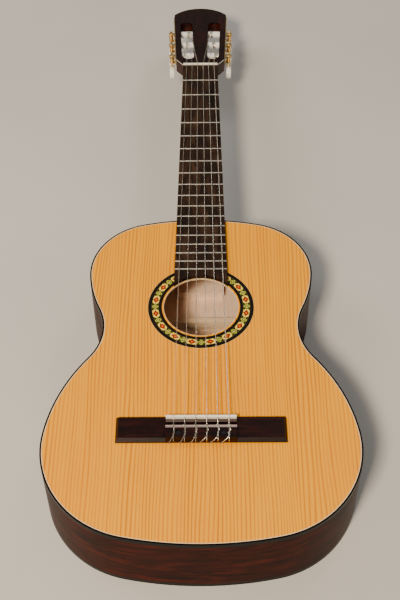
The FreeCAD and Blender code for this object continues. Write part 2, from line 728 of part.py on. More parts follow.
# ---------------------------------------------------------------- head
# The head is drawn flat: X across, Y along it from the nut, Z out of its face.
# HEAD_PLACE then tips it back at the nut.
HEAD_PLACE = Placement(Vector(0, HEAD_Y, TOP_Z + size("head_step")),
                       Rotation(Vector(1, 0, 0), -size("head_tilt")))
SIDE_SLOPE = math.atan((size("head_corner_half") - size("head_shoulder_half"))
                       / (size("head_corner_s") - size("head_shoulder_s")))


def head_half(s):
    """Half width of the head along its straight sides."""
    return size("head_shoulder_half") + (s - size("head_shoulder_s")) * math.tan(SIDE_SLOPE)


def head_edges():
    half_nut = size("board_width_nut") / 2
    shoulder = Vector(size("head_shoulder_half"), size("head_shoulder_s"))
    corner = Vector(size("head_corner_half"), size("head_corner_s"))
    right = [Vector(half_nut, -4.0), Vector(half_nut, 0.0), shoulder, corner]
    left = [Vector(-p.x, p.y) for p in reversed(right)]
    lines = [Part.LineSegment(a, b) for a, b in zip(right, right[1:])]
    crown = Part.Arc(corner, Vector(0, size("head_length")), left[0])
    lines += [crown] + [Part.LineSegment(a, b) for a, b in zip(left, left[1:])]
    return lines + [Part.LineSegment(left[-1], right[0])]


def slot_x(s):
    """Middle line of the slots."""
    share = (s - size("slot_start")) / (size("slot_end") - size("slot_start"))
    return size("slot_x_start") + share * (size("slot_x_end") - size("slot_x_start"))


def slot_edges(side):
    """A long hole with round ends, leaning with the head's side."""
    radius = size("slot_width") / 2
    low = Vector(slot_x(size("slot_start") + radius), size("slot_start") + radius)
    high = Vector(slot_x(size("slot_end") - radius), size("slot_end") - radius)
    along = (high - low).normalize()
    across = Vector(along.y, -along.x) * radius
    points = [low + across, high + across, high + along * radius, high - across,
              low - across, low - along * radius]
    a, b, tip, c, e, heel = [Vector(side * p.x, p.y) for p in points]
    return [Part.LineSegment(a, b), Part.Arc(b, tip, c), Part.LineSegment(c, e), Part.Arc(e, heel, a)]


def side_place(side, s):
    """Frame on the head's side at s: X out of the side, Y along it, Z out of the face.

    The right side's frame; the left side's pieces are mirrored afterwards.
    """
    turn = Rotation(Vector(0, 0, 1), -math.degrees(SIDE_SLOPE))
    return Placement(Vector(head_half(s), s, -size("roller_drop")), turn)


def on_head(shape, side, s=None):
    """Carry a shape from the machine's own frame, or the head's flat frame, to the guitar."""
    placed = shape.copy()
    if s is not None:
        placed.Placement = side_place(side, s).multiply(placed.Placement)
    if side < 0:
        placed = mirrored(placed)
    placed = placed.copy()
    placed.Placement = HEAD_PLACE.multiply(placed.Placement)
    return placed


ROLLER_S = [size("machine_first") + i * size("machine_pitch") for i in range(3)]


def rod(radius, x0, x1):
    """A round bar along X in the machine's frame."""
    return Part.makeCylinder(radius, x1 - x0, Vector(x0, 0, 0), Vector(1, 0, 0))


def roller_ends(s):
    """Where a roller's barrel and its inner pin end, measured inwards from the side."""
    width = head_half(s) - slot_x(s)
    return -(width + size("slot_width") / 2), -(width + size("slot_width") / 2 + 6.0)


def neck_joint_block():
    """What lies on the neck's side of the head joint."""
    return block(-60, 60, HEAD_Y - 20, HEAD_Y, TOP_Z - 40, TOP_Z + 10)


def make_head():
    """Wooden head with two slots and a bearing hole for every roller."""
    thickness = size("head_thickness") - size("veneer_thickness")
    body = make_body("head_blank")
    sketch = make_sketch(body, "XY_Plane", "head_outline", "-Sizes.head_thickness")
    draw_chain(sketch, head_edges())
    pad(body, sketch, "head_pad", "Sizes.head_thickness - Sizes.veneer_thickness")
    doc.recompute()
    slots = make_sketch(body, "XY_Plane", "head_slots", "-Sizes.veneer_thickness")
    for side in (1, -1):
        draw_chain(slots, slot_edges(side))
    pocket(body, slots, "head_slots_cut", "Sizes.head_thickness")
    body.Placement = HEAD_PLACE
    bores = []
    for s in ROLLER_S:
        inner, pin_end = roller_ends(s)
        wall = rod(size("roller_radius") + size("running_gap"), inner + 2.0, 2.0)
        web = rod(size("roller_pin_radius") + size("running_gap"), pin_end - 0.4, inner + 3.0)
        for side in (1, -1):
            bores.append(on_head(wall.fuse(web), side, s))
    for s in SCREW_S:
        pilot = rod(PILOT_RADIUS, -PILOT_DEPTH, 0.5)
        pilot.translate(Vector(0, s - PLATE_MIDDLE_S, 0))
        for side in (1, -1):
            bores.append(on_head(pilot, side, PLATE_MIDDLE_S))
    tools = doc.addObject("Part::Feature", "head_bores")
    tools.Shape = Part.makeCompound(bores)
    joint = doc.addObject("Part::Feature", "neck_joint")
    joint.Shape = neck_joint_block()
    first = doc.addObject("Part::Cut", "head_bored")
    first.Base = body
    first.Tool = tools
    cut_object("head", first, joint)


def make_head_veneer():
    """The dark plate glued on the head's face, with the same slots."""
    edges = head_edges()
    plate = prism(edges, -size("veneer_thickness"), 0.0)
    for side in (1, -1):
        plate = plate.cut(prism(slot_edges(side), -5.0, 5.0))
    plate.Placement = HEAD_PLACE
    plate = plate.cut(neck_joint_block())
    feature_of(plate, "head_veneer")


# ----------------------------------------------------- tuning machines
# A machine is drawn in the frame of side_place: X out of the head's side,
# Y along the side, Z out of the face, with the roller's axis on X.
GEAR_RADIUS = size("gear_teeth") * size("gear_pitch") / (2 * math.pi)
WORM_Y = -(GEAR_RADIUS + size("worm_radius"))
WORM_X = size("gear_stand")
FLANK = math.tan(math.radians(20.0))
ADDENDUM = 0.6
DEDENDUM = 0.9
TOOTH_HALF = 0.475
THREAD_HALF = 0.5
THREAD_RISE = 0.7
TAB_INNER = 5.0
PLATE_MIDDLE_S = ROLLER_S[1]
SCREW_S = (27.0, 56.0, 91.0, 126.0, 155.0)
PILOT_RADIUS = 1.25
PILOT_DEPTH = 6.6
SCREW_HOLE_RADIUS = 1.5
TAB_HALF = 3.4
PIN_TAIL_RADIUS = 2.2
BOSS_RADIUS = 3.6
GEAR_SCREW_RADIUS = 3.2
SHAFT_IN_BUTTON = 9.0


def make_plate_shape():
    """Long plate with a bearing hole per roller and two bent tabs per worm."""
    high = size("plate_half_height")
    start = size("plate_start") - PLATE_MIDDLE_S
    end = size("plate_end") - PLATE_MIDDLE_S
    thick = size("plate_thickness")
    plate = block(0, thick, start, end, -high, high)
    for s in SCREW_S:
        plate = plate.cut(Part.makeCylinder(SCREW_HOLE_RADIUS, 4, Vector(-1, s - PLATE_MIDDLE_S, 0),
                                           Vector(1, 0, 0)))
    gap = size("running_gap")
    for s in ROLLER_S:
        y = s - PLATE_MIDDLE_S
        hole = Part.makeCylinder(size("roller_pin_radius") + gap, 4, Vector(-1, y, 0), Vector(1, 0, 0))
        plate = plate.cut(hole)
        for low in (-high, TAB_INNER):
            middle = y + WORM_Y
            tab = block(thick, WORM_X, middle - TAB_HALF, middle + TAB_HALF, low, low + high - TAB_INNER)
            round_end = Part.makeCylinder(TAB_HALF, high - TAB_INNER, Vector(WORM_X, middle, low))
            plate = plate.fuse(tab).fuse(round_end)
        bearing = Part.makeCylinder(size("worm_shaft_radius") + gap, 30, Vector(WORM_X, y + WORM_Y, -15))
        plate = plate.cut(bearing)
    return plate.removeSplitter()


def make_gear_shape():
    """Fourteen straight-sided teeth, twisted to lie along the worm's thread."""
    teeth = int(size("gear_teeth"))
    half_width = size("gear_thickness") / 2
    twist = size("gear_pitch") / (2 * math.pi * size("worm_radius")) * half_width / GEAR_RADIUS
    rings = []
    for x, turn in ((-half_width, -twist), (half_width, twist)):
        points = []
        for i in range(teeth):
            middle = math.pi + turn + 2 * math.pi * (i + 0.5) / teeth
            for side, rise in ((-1, -DEDENDUM), (-1, ADDENDUM), (1, ADDENDUM), (1, -DEDENDUM)):
                radius = GEAR_RADIUS + rise
                angle = middle + side * (TOOTH_HALF - rise * FLANK) / radius
                points.append(Vector(WORM_X + x, radius * math.cos(angle), radius * math.sin(angle)))
        rings.append(Part.makePolygon(points + points[:1]))
    gear = Part.makeLoft(rings, True, True)
    bore = rod(PIN_TAIL_RADIUS, 0.0, 20.0)
    boss = rod(BOSS_RADIUS, size("plate_thickness") + 0.4, WORM_X - half_width)
    return gear.fuse(boss).cut(bore)


def make_gear_screw_shape():
    """Cheese-head screw that holds the gear on its pin."""
    start = WORM_X + size("gear_thickness") / 2
    head = rod(GEAR_SCREW_RADIUS, start, start + 1.9)
    slot = block(start + 1.1, start + 3.0, -5, 5, -0.45, 0.45)
    return head.cut(slot)


def make_worm_shape():
    """Shaft, thread of one start and a collar on the button's side."""
    lead = size("gear_pitch")
    radius = size("worm_radius")
    reach = TAB_INNER - 0.2
    start = -2.25 * lead
    root = radius - DEDENDUM
    tip = radius + THREAD_RISE
    helix = Part.makeHelix(lead, -2 * start, radius)
    half_root = THREAD_HALF + DEDENDUM * FLANK
    half_tip = THREAD_HALF - THREAD_RISE * FLANK
    points = [Vector(root, 0, -half_root), Vector(tip, 0, -half_tip),
              Vector(tip, 0, half_tip), Vector(root, 0, half_root)]
    profile = Part.makePolygon(points + points[:1])
    thread = Part.Wire(helix.Edges).makePipeShell([profile], True, True)
    thread.translate(Vector(0, 0, start))
    thread = thread.common(Part.makeCylinder(tip + 1, 2 * reach, Vector(0, 0, -reach)))
    core = Part.makeCylinder(root + 0.1, 2 * reach, Vector(0, 0, -reach))
    button_z = size("button_top") + size("roller_drop")
    shaft_low = button_z - SHAFT_IN_BUTTON
    shaft_high = size("plate_half_height") + 1.0
    shaft = Part.makeCylinder(size("worm_shaft_radius"), shaft_high - shaft_low, Vector(0, 0, shaft_low))
    cap = Part.makeCylinder(PIN_TAIL_RADIUS, 0.8, Vector(0, 0, shaft_high - 0.8))
    collar = Part.makeCylinder(2.6, 2.0, Vector(0, 0, button_z))
    worm = core.fuse(thread).fuse([shaft, cap, collar])
    worm.translate(Vector(WORM_X, WORM_Y, 0))
    return worm


def make_button_shape():
    """Flat knob with rounded edges, thin across the head, bored for its shaft."""
    z = size("button_top") + size("roller_drop")
    radius = size("button_width") / 2
    thick = size("button_thickness")
    low = z - size("button_length")
    disc = Part.makeCylinder(radius, thick, Vector(-thick / 2, 0, low + radius), Vector(1, 0, 0))
    disc = disc.makeFillet(2.2, [e for e in disc.Edges if e.isClosed()])
    neck = block(-thick / 2 + 1.0, thick / 2 - 1.0, -4.6, 4.6, low + radius, z)
    neck = neck.makeFillet(1.8, [e for e in neck.Edges if abs(e.tangentAt(0).z) > 0.9])
    knob = disc.fuse(neck)
    knob = knob.cut(Part.makeCylinder(size("worm_shaft_radius"), SHAFT_IN_BUTTON,
                                      Vector(0, 0, z - SHAFT_IN_BUTTON)))
    knob.translate(Vector(WORM_X, WORM_Y, 0))
    return knob


def string_end_x(number):
    """Where a string winds on its roller: the middle strings go to the far rollers."""
    return {1: -22.5, 2: -19.5, 3: -16.5, 4: 16.5, 5: 19.5, 6: 22.5}[number]


def make_roller_shape(s, string_x_at):
    """White barrel across the slot, with a pin at each end and a string hole."""
    inner, pin_end = roller_ends(s)
    barrel = rod(size("roller_radius"), inner + 0.3, -0.15)
    pin = rod(size("roller_pin_radius"), pin_end, size("plate_thickness") + 0.4)
    tail = rod(PIN_TAIL_RADIUS, 0.0, WORM_X + size("gear_thickness") / 2)
    hole_x = (abs(string_x_at) - head_half(s)) / math.cos(SIDE_SLOPE)
    hole = Part.makeCylinder(1.0, 20.0, Vector(hole_x, 0, -10))
    return barrel.fuse([pin, tail]).cut(hole)


def make_machines():
    """Twelve turning bodies on two plates; left pieces mirror the right ones."""
    gear = make_gear_shape()
    screw = make_gear_screw_shape()
    worm = make_worm_shape()
    button = make_button_shape()
    plate = make_plate_shape()
    screws = []
    thick = size("plate_thickness")
    head = Part.makeSphere(3.2, Vector(-1.0, 0, 0)).common(rod(2.6, thick, 4.0))
    shank = rod(PILOT_RADIUS - 0.05, 0.3 - PILOT_DEPTH, thick)
    notch = block(1.65, 4.0, -4, 4, -0.35, 0.35)
    wood_screw = head.fuse(shank).cut(notch)
    for side, label in ((1, "tuner_plate_right"), (-1, "tuner_plate_left")):
        feature_of(on_head(plate, side, PLATE_MIDDLE_S), label)
        for s in SCREW_S:
            moved = wood_screw.copy()
            moved.translate(Vector(0, s - PLATE_MIDDLE_S, 0))
            screws.append(on_head(moved, side, PLATE_MIDDLE_S))
    feature_of(Part.makeCompound(screws), "plate_screws")
    for number in range(1, 7):
        side = -1 if number <= 3 else 1
        rank = number if number <= 3 else 7 - number
        s = ROLLER_S[rank - 1]
        feature_of(on_head(worm, side, s), f"worm_shaft_{number}")
        feature_of(on_head(button, side, s), f"button_{number}")
        feature_of(Part.makeCompound([on_head(gear, side, s), on_head(screw, side, s)]),
                   f"tuner_gear_{number}")
        feature_of(on_head(make_roller_shape(s, string_end_x(number)), side, s), f"roller_{number}")


# -------------------------------------------------------------- strings
def rounded_path(corners, radii):
    """Straight runs joined by tangent arcs; one radius per inner corner."""
    edges = []
    start = corners[0]
    for i, radius in enumerate(radii, 1):
        into = (corners[i] - corners[i - 1]).normalize()
        out = (corners[i + 1] - corners[i]).normalize()
        turn = into.getAngle(out)
        reach = radius * math.tan(turn / 2)
        first = corners[i] - into * reach
        last = corners[i] + out * reach
        inward = (out - into).normalize()
        centre = corners[i] + inward * (radius / math.cos(turn / 2))
        edges.append(Part.makeLine(start, first))
        edges.append(Part.Arc(first, centre - inward * radius, last).toShape())
        start = last
    edges.append(Part.makeLine(start, corners[-1]))
    return Part.Wire(edges)


def tangent_point(centre, radius, outside, upper):
    """Where a line from a point outside touches a circle, in the YZ plane."""
    away = outside - centre
    distance = math.hypot(away.y, away.z)
    swing = math.acos(radius / distance)
    angle = math.atan2(away.z, away.y) + upper * swing
    return Vector(0, centre.y + radius * math.cos(angle), centre.z + radius * math.sin(angle))


def make_string(number):
    """From the tie block's hole over the saddle and the nut down to its roller."""
    radius = STRING_RADII[number - 1]
    x_saddle = string_x(number, size("saddle_spacing"))
    x_nut = string_x(number, size("nut_spacing"))
    x_end = string_end_x(number)
    hole_z = TOP_Z + size("tie_hole_height")
    tail = Vector(x_saddle, SADDLE_Y + size("bridge_back") - 0.6, hole_z)
    bend = Vector(x_saddle, SADDLE_Y - 9.2, hole_z)
    at_nut = Vector(x_nut, NUT_Y + 1.6, TOP_Z + size("nut_string_height") + radius)
    half = size("saddle_thickness") / 2
    crest = Vector(0, SADDLE_Y, TOP_Z + size("saddle_height") - half)
    rise = tangent_point(crest, half + radius, bend, -1)
    fall = tangent_point(crest, half + radius, at_nut, 1)
    into = rise - Vector(0, bend.y, bend.z)
    out = Vector(0, at_nut.y, at_nut.z) - fall
    share = ((fall.y - rise.y) * out.z - (fall.z - rise.z) * out.y) / (into.y * out.z - into.z * out.y)
    over_saddle = Vector(x_saddle, rise.y + into.y * share, rise.z + into.z * share)
    rank = number if number <= 3 else 7 - number
    s = ROLLER_S[rank - 1]
    s_axis = s + (head_half(s) - abs(x_end)) * math.tan(SIDE_SLOPE)
    axis = HEAD_PLACE.multVec(Vector(x_end, s_axis, -size("roller_drop")))
    end = tangent_point(axis, size("roller_radius") + 0.3 + radius, at_nut, -1)
    corners = [tail, bend, over_saddle, at_nut, Vector(x_end, end.y, end.z)]
    path = rounded_path(corners, (3.0, half + radius, 4.0))
    circle = Part.Wire(Part.makeCircle(radius, tail, Vector(0, 1, 0)))
    tube = path.makePipeShell([circle], True, False)
    expected = math.pi * radius ** 2 * path.Length
    print(f"string {number}: length {path.Length:.1f}, volume ratio {tube.Volume / expected:.4f}")
    feature_of(tube, f"string_{number}")
    return tube


# ------------------------------------------------------------- assembly
make_soundboard()
make_flat_ring("rosette", "Sizes.rosette_inner", "Sizes.rosette_outer",
               "Sizes.body_depth - Sizes.rosette_depth", "Sizes.rosette_depth",
               "Sizes.saddle_y + Sizes.hole_y")
make_flat_ring("soundhole_patch", "Sizes.hole_radius + 3", "Sizes.patch_outer",
               "Sizes.body_depth - Sizes.top_thickness - Sizes.patch_thickness", "Sizes.patch_thickness",
               "Sizes.saddle_y + Sizes.hole_y")
make_back()
neck_shaft = make_neck()
heel_block = make_heel(neck_shaft)
make_heel_cap()
joined = neck_shaft.fuse(heel_block).fuse(NODES["heel_cap"].Shape)
make_ribs(joined)
make_edges(joined)
make_tail_block()
make_braces()
make_fingerboard()
make_frets()
make_nut([make_string(number) for number in range(1, 7)])
make_bridge()
make_saddle()
make_trim()
make_bridge_bolts()
make_head()
make_head_veneer()
make_machines()

# ------------------------------------------------------------- checks
doc.recompute()
for thing in doc.Objects:
    if "Invalid" in thing.State or "Error" in thing.State:
        raise RuntimeError(f"{thing.Name} failed: {thing.State}")
os.makedirs("parts", exist_ok=True)
whole = FreeCAD.BoundBox()
for label, thing in sorted(NODES.items()):
    if thing.Shape.isNull() or not thing.Shape.isValid():
        raise RuntimeError(f"{label} has no valid shape")
    if not thing.Shape.Solids:
        raise RuntimeError(f"{label} has no solid")
    whole.add(thing.Shape.BoundBox)
    thing.Shape.exportStep(f"parts/{label}.step")
print(len(NODES), "sub-parts", whole)
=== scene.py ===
import json
import math

import bpy
import numpy as np
from bpy.props import FloatProperty, FloatVectorProperty, IntProperty, PointerProperty
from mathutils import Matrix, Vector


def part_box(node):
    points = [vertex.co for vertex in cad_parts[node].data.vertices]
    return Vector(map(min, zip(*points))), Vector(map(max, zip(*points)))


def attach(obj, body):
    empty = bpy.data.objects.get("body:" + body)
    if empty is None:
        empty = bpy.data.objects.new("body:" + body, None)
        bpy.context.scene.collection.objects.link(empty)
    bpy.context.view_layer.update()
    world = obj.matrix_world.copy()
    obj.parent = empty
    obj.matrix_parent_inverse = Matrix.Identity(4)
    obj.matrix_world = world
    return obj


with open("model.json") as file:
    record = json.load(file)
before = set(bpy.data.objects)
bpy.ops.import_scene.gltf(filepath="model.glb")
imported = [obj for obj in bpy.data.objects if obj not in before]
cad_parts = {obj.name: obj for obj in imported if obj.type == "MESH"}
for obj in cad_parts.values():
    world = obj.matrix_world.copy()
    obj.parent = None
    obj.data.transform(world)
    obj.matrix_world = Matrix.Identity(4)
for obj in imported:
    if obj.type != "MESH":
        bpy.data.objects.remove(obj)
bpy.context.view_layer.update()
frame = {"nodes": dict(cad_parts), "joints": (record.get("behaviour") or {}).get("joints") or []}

bl_info = {
    "name": "Classical guitar finish",
    "version": (1, 0, 0),
    "blender": (4, 5, 0),
    "location": "3D View > Sidebar > Guitar",
    "description": "Gives a packed classical guitar its woods, metals, inlays and tied strings",
    "category": "Object",
}

MM = 0.001
STRINGS = (1, 2, 3, 4, 5, 6)
TREBLES = (1, 2, 3)


def box_middle(node):
    """Middle of a CAD node's box."""
    low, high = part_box(node)
    return (np.array(low) + np.array(high)) / 2


# Places on the guitar, all read from the frame.
ROSETTE_LOW, ROSETTE_HIGH = [np.array(p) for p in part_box("rosette")]
HOLE_X, HOLE_Y = (ROSETTE_LOW[:2] + ROSETTE_HIGH[:2]) / 2
ROSETTE_RADIUS = float(ROSETTE_HIGH[0] - ROSETTE_LOW[0]) / 2
TOP_Z = float(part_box("soundboard")[1][2])
SADDLE_Y = float(box_middle("saddle")[1])
BRIDGE_LOW, BRIDGE_HIGH = [np.array(p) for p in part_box("bridge")]
TRIM_LOW, TRIM_HIGH = [np.array(p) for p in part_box("tie_block_trim")]
BODY_TOP_Y = float(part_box("soundboard")[1][1])
JOINTS = {joint["name"]: joint for joint in frame["joints"]}


# ------------------------------------------------------------ materials
def srgb(code, alpha=1.0):
    """A hex colour such as D8A45A turned into Blender's linear numbers."""
    parts = [int(code[i:i + 2], 16) / 255 for i in (0, 2, 4)]
    linear = [c / 12.92 if c <= 0.04045 else ((c + 0.055) / 1.055) ** 2.4 for c in parts]
    return (*linear, alpha)


def colour_of(value):
    """A hex code, a grey or a ready linear colour, as red, green, blue and alpha."""
    if isinstance(value, str):
        return srgb(value)
    if isinstance(value, float):
        return (value, value, value, 1.0)
    return tuple(value)


def add_node(tree, kind, inputs=None, output=0, stops=(), **settings):
    """Add one node and give back one of its output sockets, or the node if output is None.

    An input is a value or another node's socket. A stop is a place on a ramp and its colour.
    """
    node = tree.nodes.new("ShaderNode" + kind)
    for key, value in settings.items():
        setattr(node, key, value)
    for key, item in (inputs or {}).items():
        if isinstance(item, bpy.types.NodeSocket):
            tree.links.new(item, node.inputs[key])
        else:
            node.inputs[key].default_value = item
    for index, (position, colour) in enumerate(stops):
        elements = node.color_ramp.elements
        element = elements[index] if index < 2 else elements.new(position)
        element.position = position
        element.color = colour_of(colour)
    return node if output is None else node.outputs[output]


def new_material(name, **sockets):
    """A material with one Principled shader, whose uniform values sit on its own sockets."""
    material = bpy.data.materials.new(name)
    material.use_nodes = True
    tree = material.node_tree
    tree.nodes.clear()
    values = {key.replace("_", " "): value for key, value in sockets.items()}
    shader = add_node(tree, "BsdfPrincipled", values, output=None)
    add_node(tree, "OutputMaterial", {"Surface": shader.outputs["BSDF"]}, output=None)
    place = add_node(tree, "TexCoord", output="Object")
    return material, tree, shader, place


def dress(tree, shader, colour, height=None, depth_mm=0.0, strength=1.0):
    """Join a colour to the shader, and a relief that is depth_mm from bottom to top."""
    tree.links.new(colour, shader.inputs["Base Color"])
    if height is not None:
        normal = add_node(tree, "Bump", {"Height": height, "Strength": strength, "Distance": depth_mm * MM})
        tree.links.new(normal, shader.inputs["Normal"])


def hole_distance(tree, place):
    """Position round the sound hole: x and y from its axis, and the distance."""
    centred = add_node(tree, "Mapping", {"Vector": place, "Location": (-HOLE_X, -HOLE_Y, 0.0)})
    x = add_node(tree, "SeparateXYZ", {"Vector": centred}, "X")
    y = add_node(tree, "SeparateXYZ", {"Vector": centred}, "Y")
    y_squared = add_node(tree, "Math", {0: y, 1: y}, operation="MULTIPLY")
    squares = add_node(tree, "Math", {0: x, 1: x, 2: y_squared}, operation="MULTIPLY_ADD")
    return x, y, add_node(tree, "Math", {0: squares}, operation="SQRT")


def spruce_top(look):
    """Quarter-sawn spruce under clear lacquer: even dark rings along the guitar, silk across them.

    The real rings are about 2 mm apart; they are drawn twice as far apart so that they show.
    """
    material, tree, shader, place = new_material("spruce, lacquered", Roughness=0.45, Coat_Weight=0.08,
                                                 Coat_Roughness=0.15, Specular_IOR_Level=0.08)
    # Rings: a sine across the plate, bent a little by a slow wobble along it.
    bent = add_node(tree, "Mapping", {"Vector": place, "Scale": (1.0, 0.12, 1.0)})
    wobble = add_node(tree, "TexNoise", {"Vector": bent, "Scale": 1 / (60 * MM), "Detail": 2.0})
    x = add_node(tree, "SeparateXYZ", {"Vector": place}, "X")
    shifted = add_node(tree, "Math", {0: wobble, 1: 0.03, 2: x}, operation="MULTIPLY_ADD")
    phase = add_node(tree, "Math", {0: shifted, 1: 2 * math.pi / look.ring_spacing}, operation="MULTIPLY")
    wave = add_node(tree, "Math", {0: phase}, operation="SINE")
    rings = add_node(tree, "Math", {0: wave, 1: 0.5, 2: 0.5}, operation="MULTIPLY_ADD")
    sharp = add_node(tree, "Math", {0: rings, 1: 1.8}, operation="POWER")
    # Fibres are 1.3 mm and streaks 9 mm wide, and both are long.
    along = add_node(tree, "Mapping", {"Vector": place, "Scale": (1.0, 0.012, 1.0)})
    fibre = add_node(tree, "TexNoise", {"Vector": along, "Scale": 1 / (1.3 * MM), "Detail": 4.0,
                                        "Roughness": 0.62})
    streaked = add_node(tree, "Mapping", {"Vector": place, "Scale": (1.0, 0.02, 1.0),
                                          "Location": (0.4, 0.1, 0.0)})
    streak = add_node(tree, "TexNoise", {"Vector": streaked, "Scale": 1 / (9 * MM), "Detail": 3.0})
    ring_share = add_node(tree, "Math", {0: streak, 1: 0.9, 2: 0.05}, operation="MULTIPLY_ADD")
    fibre_share = add_node(tree, "Math", {0: fibre, 1: 0.55}, operation="MULTIPLY")
    grain = add_node(tree, "Math", {0: sharp, 1: ring_share, 2: fibre_share}, operation="MULTIPLY_ADD")
    wood = add_node(tree, "ValToRGB", {"Fac": grain},
                    stops=((0.18, "FFB400"), (0.5, look.top_colour), (0.85, "D68200")))
    # Warm clouds 90 mm wide, then silk across the grain.
    clouded = add_node(tree, "Mapping", {"Vector": place, "Scale": (1.0, 0.5, 1.0),
                                         "Location": (0.2, 0.0, 0.0)})
    cloud = add_node(tree, "TexNoise", {"Vector": clouded, "Scale": 1 / (90 * MM), "Detail": 2.0})
    cloud_share = add_node(tree, "ValToRGB", {"Fac": cloud}, stops=((0.3, 0.0), (0.75, 1.0)))
    warm = add_node(tree, "Mix", {0: cloud_share, 6: wood, 7: srgb("E8A040")}, 2, data_type="RGBA",
                    blend_type="MULTIPLY")
    tinted = add_node(tree, "Mix", {0: 0.16, 6: wood, 7: warm}, 2, data_type="RGBA")
    crossed = add_node(tree, "Mapping", {"Vector": place, "Scale": (0.25, 1.0, 1.0),
                                         "Rotation": (0.0, 0.0, 0.12)})
    silk = add_node(tree, "TexNoise", {"Vector": crossed, "Scale": 1 / (4 * MM), "Detail": 3.0})
    silk_share = add_node(tree, "ValToRGB", {"Fac": silk}, stops=((0.55, 0.0), (0.8, 0.14)))
    face = add_node(tree, "Mix", {0: silk_share, 6: tinted, 7: srgb("FFC020")}, 2, data_type="RGBA")
    # The wall of the hole is bare end grain, paler than the lacquered face.
    distance = hole_distance(tree, place)[2]
    wall = add_node(tree, "Math", {0: distance, 1: look.hole_radius + 0.3 * MM}, operation="LESS_THAN")
    colour = add_node(tree, "Mix", {0: wall, 6: face, 7: srgb("FFE0AC")}, 2, data_type="RGBA")
    dress(tree, shader, colour, fibre, 0.03, 0.25)
    return material


def mosaic_ring(look):
    """Rosette of dyed veneer sticks: black rings, and between them a dark band with lozenges.

    Yellow lozenges with red hearts take turns with green ones round the hole. Each lozenge is the
    set of places where |along| / half + |across| / wide is below one, with half a repeat and the
    half width of the band as units.
    """
    material, tree, shader, place = new_material("rosette, wood mosaic", Roughness=0.4, Coat_Weight=0.1,
                                                 Coat_Roughness=0.15, Specular_IOR_Level=0.12)
    x, y, radius = hole_distance(tree, place)
    angle = add_node(tree, "Math", {0: y, 1: x}, operation="ARCTAN2")
    turns = add_node(tree, "Math", {0: angle, 1: look.rosette_repeats / (2 * math.pi)}, operation="MULTIPLY")
    band_middle = (look.mosaic_start + look.mosaic_end) / 2
    band_half = (look.mosaic_end - look.mosaic_start) / 2
    from_middle = add_node(tree, "Math", {0: radius, 1: band_middle}, operation="SUBTRACT")
    across = add_node(tree, "Math", {0: from_middle, 1: 1 / band_half}, operation="MULTIPLY")
    across_size = add_node(tree, "Math", {0: across}, operation="ABSOLUTE")
    stick_mm = 0.7
    sticks = add_node(tree, "TexVoronoi", {"Vector": place, "Scale": 1 / (stick_mm * MM)}, "Color")
    colour = add_node(tree, "Mix", {0: 0.1, 6: srgb("182208"), 7: sticks}, 2, data_type="RGBA",
                      blend_type="OVERLAY")
    # Nested lozenges, largest first: half along, half across and colour; each set has its own shift.
    field = ((0.72, 2.3, "FFDC5A"),)
    green = ((0.46, 1.7, "142A08"), (0.35, 1.2, "C8CC4A"), (0.23, 0.78, "142A08"), (0.11, 0.38, "E6DC78"))
    red = ((0.48, 0.98, "1A0C04"), (0.36, 0.7, "B81E08"), (0.13, 0.26, "F09030"))
    for shift, lozenges in ((0.0, field), (0.5, green), (0.0, red)):
        moved = add_node(tree, "Math", {0: turns, 1: shift}, operation="ADD")
        repeat = add_node(tree, "Math", {0: moved}, operation="FRACT")
        along = add_node(tree, "Math", {0: repeat, 1: 2.0, 2: -1.0}, operation="MULTIPLY_ADD")
        along_size = add_node(tree, "Math", {0: along}, operation="ABSOLUTE")
        for half, wide, tint in lozenges:
            part = add_node(tree, "Math", {0: across_size, 1: wide}, operation="DIVIDE")
            total = add_node(tree, "Math", {0: along_size, 1: 1 / half, 2: part}, operation="MULTIPLY_ADD")
            within = add_node(tree, "Math", {0: total, 1: 1.0}, operation="LESS_THAN")
            colour = add_node(tree, "Mix", {0: within, 6: colour, 7: srgb(tint)}, 2, data_type="RGBA")
    black, thin_line, outer_line = srgb("17130F"), srgb("7A6A3C"), srgb("E0C890")
    line = look.veneer_line
    rings = ((look.mosaic_start - line, thin_line), (look.mosaic_start, colour),
             (look.mosaic_end, thin_line), (look.mosaic_end + line, black),
             (ROSETTE_RADIUS - 0.3 * MM, outer_line))
    banded = black
    for start, tint in rings:
        beyond = add_node(tree, "Math", {0: radius, 1: start}, operation="GREATER_THAN")
        banded = add_node(tree, "Mix", {0: beyond, 6: banded, 7: tint}, 2, data_type="RGBA")
    tool_marks = add_node(tree, "TexNoise", {"Vector": place, "Scale": 1 / (0.8 * MM), "Detail": 2.0})
    dress(tree, shader, banded, tool_marks, 0.02, 0.2)
    return material


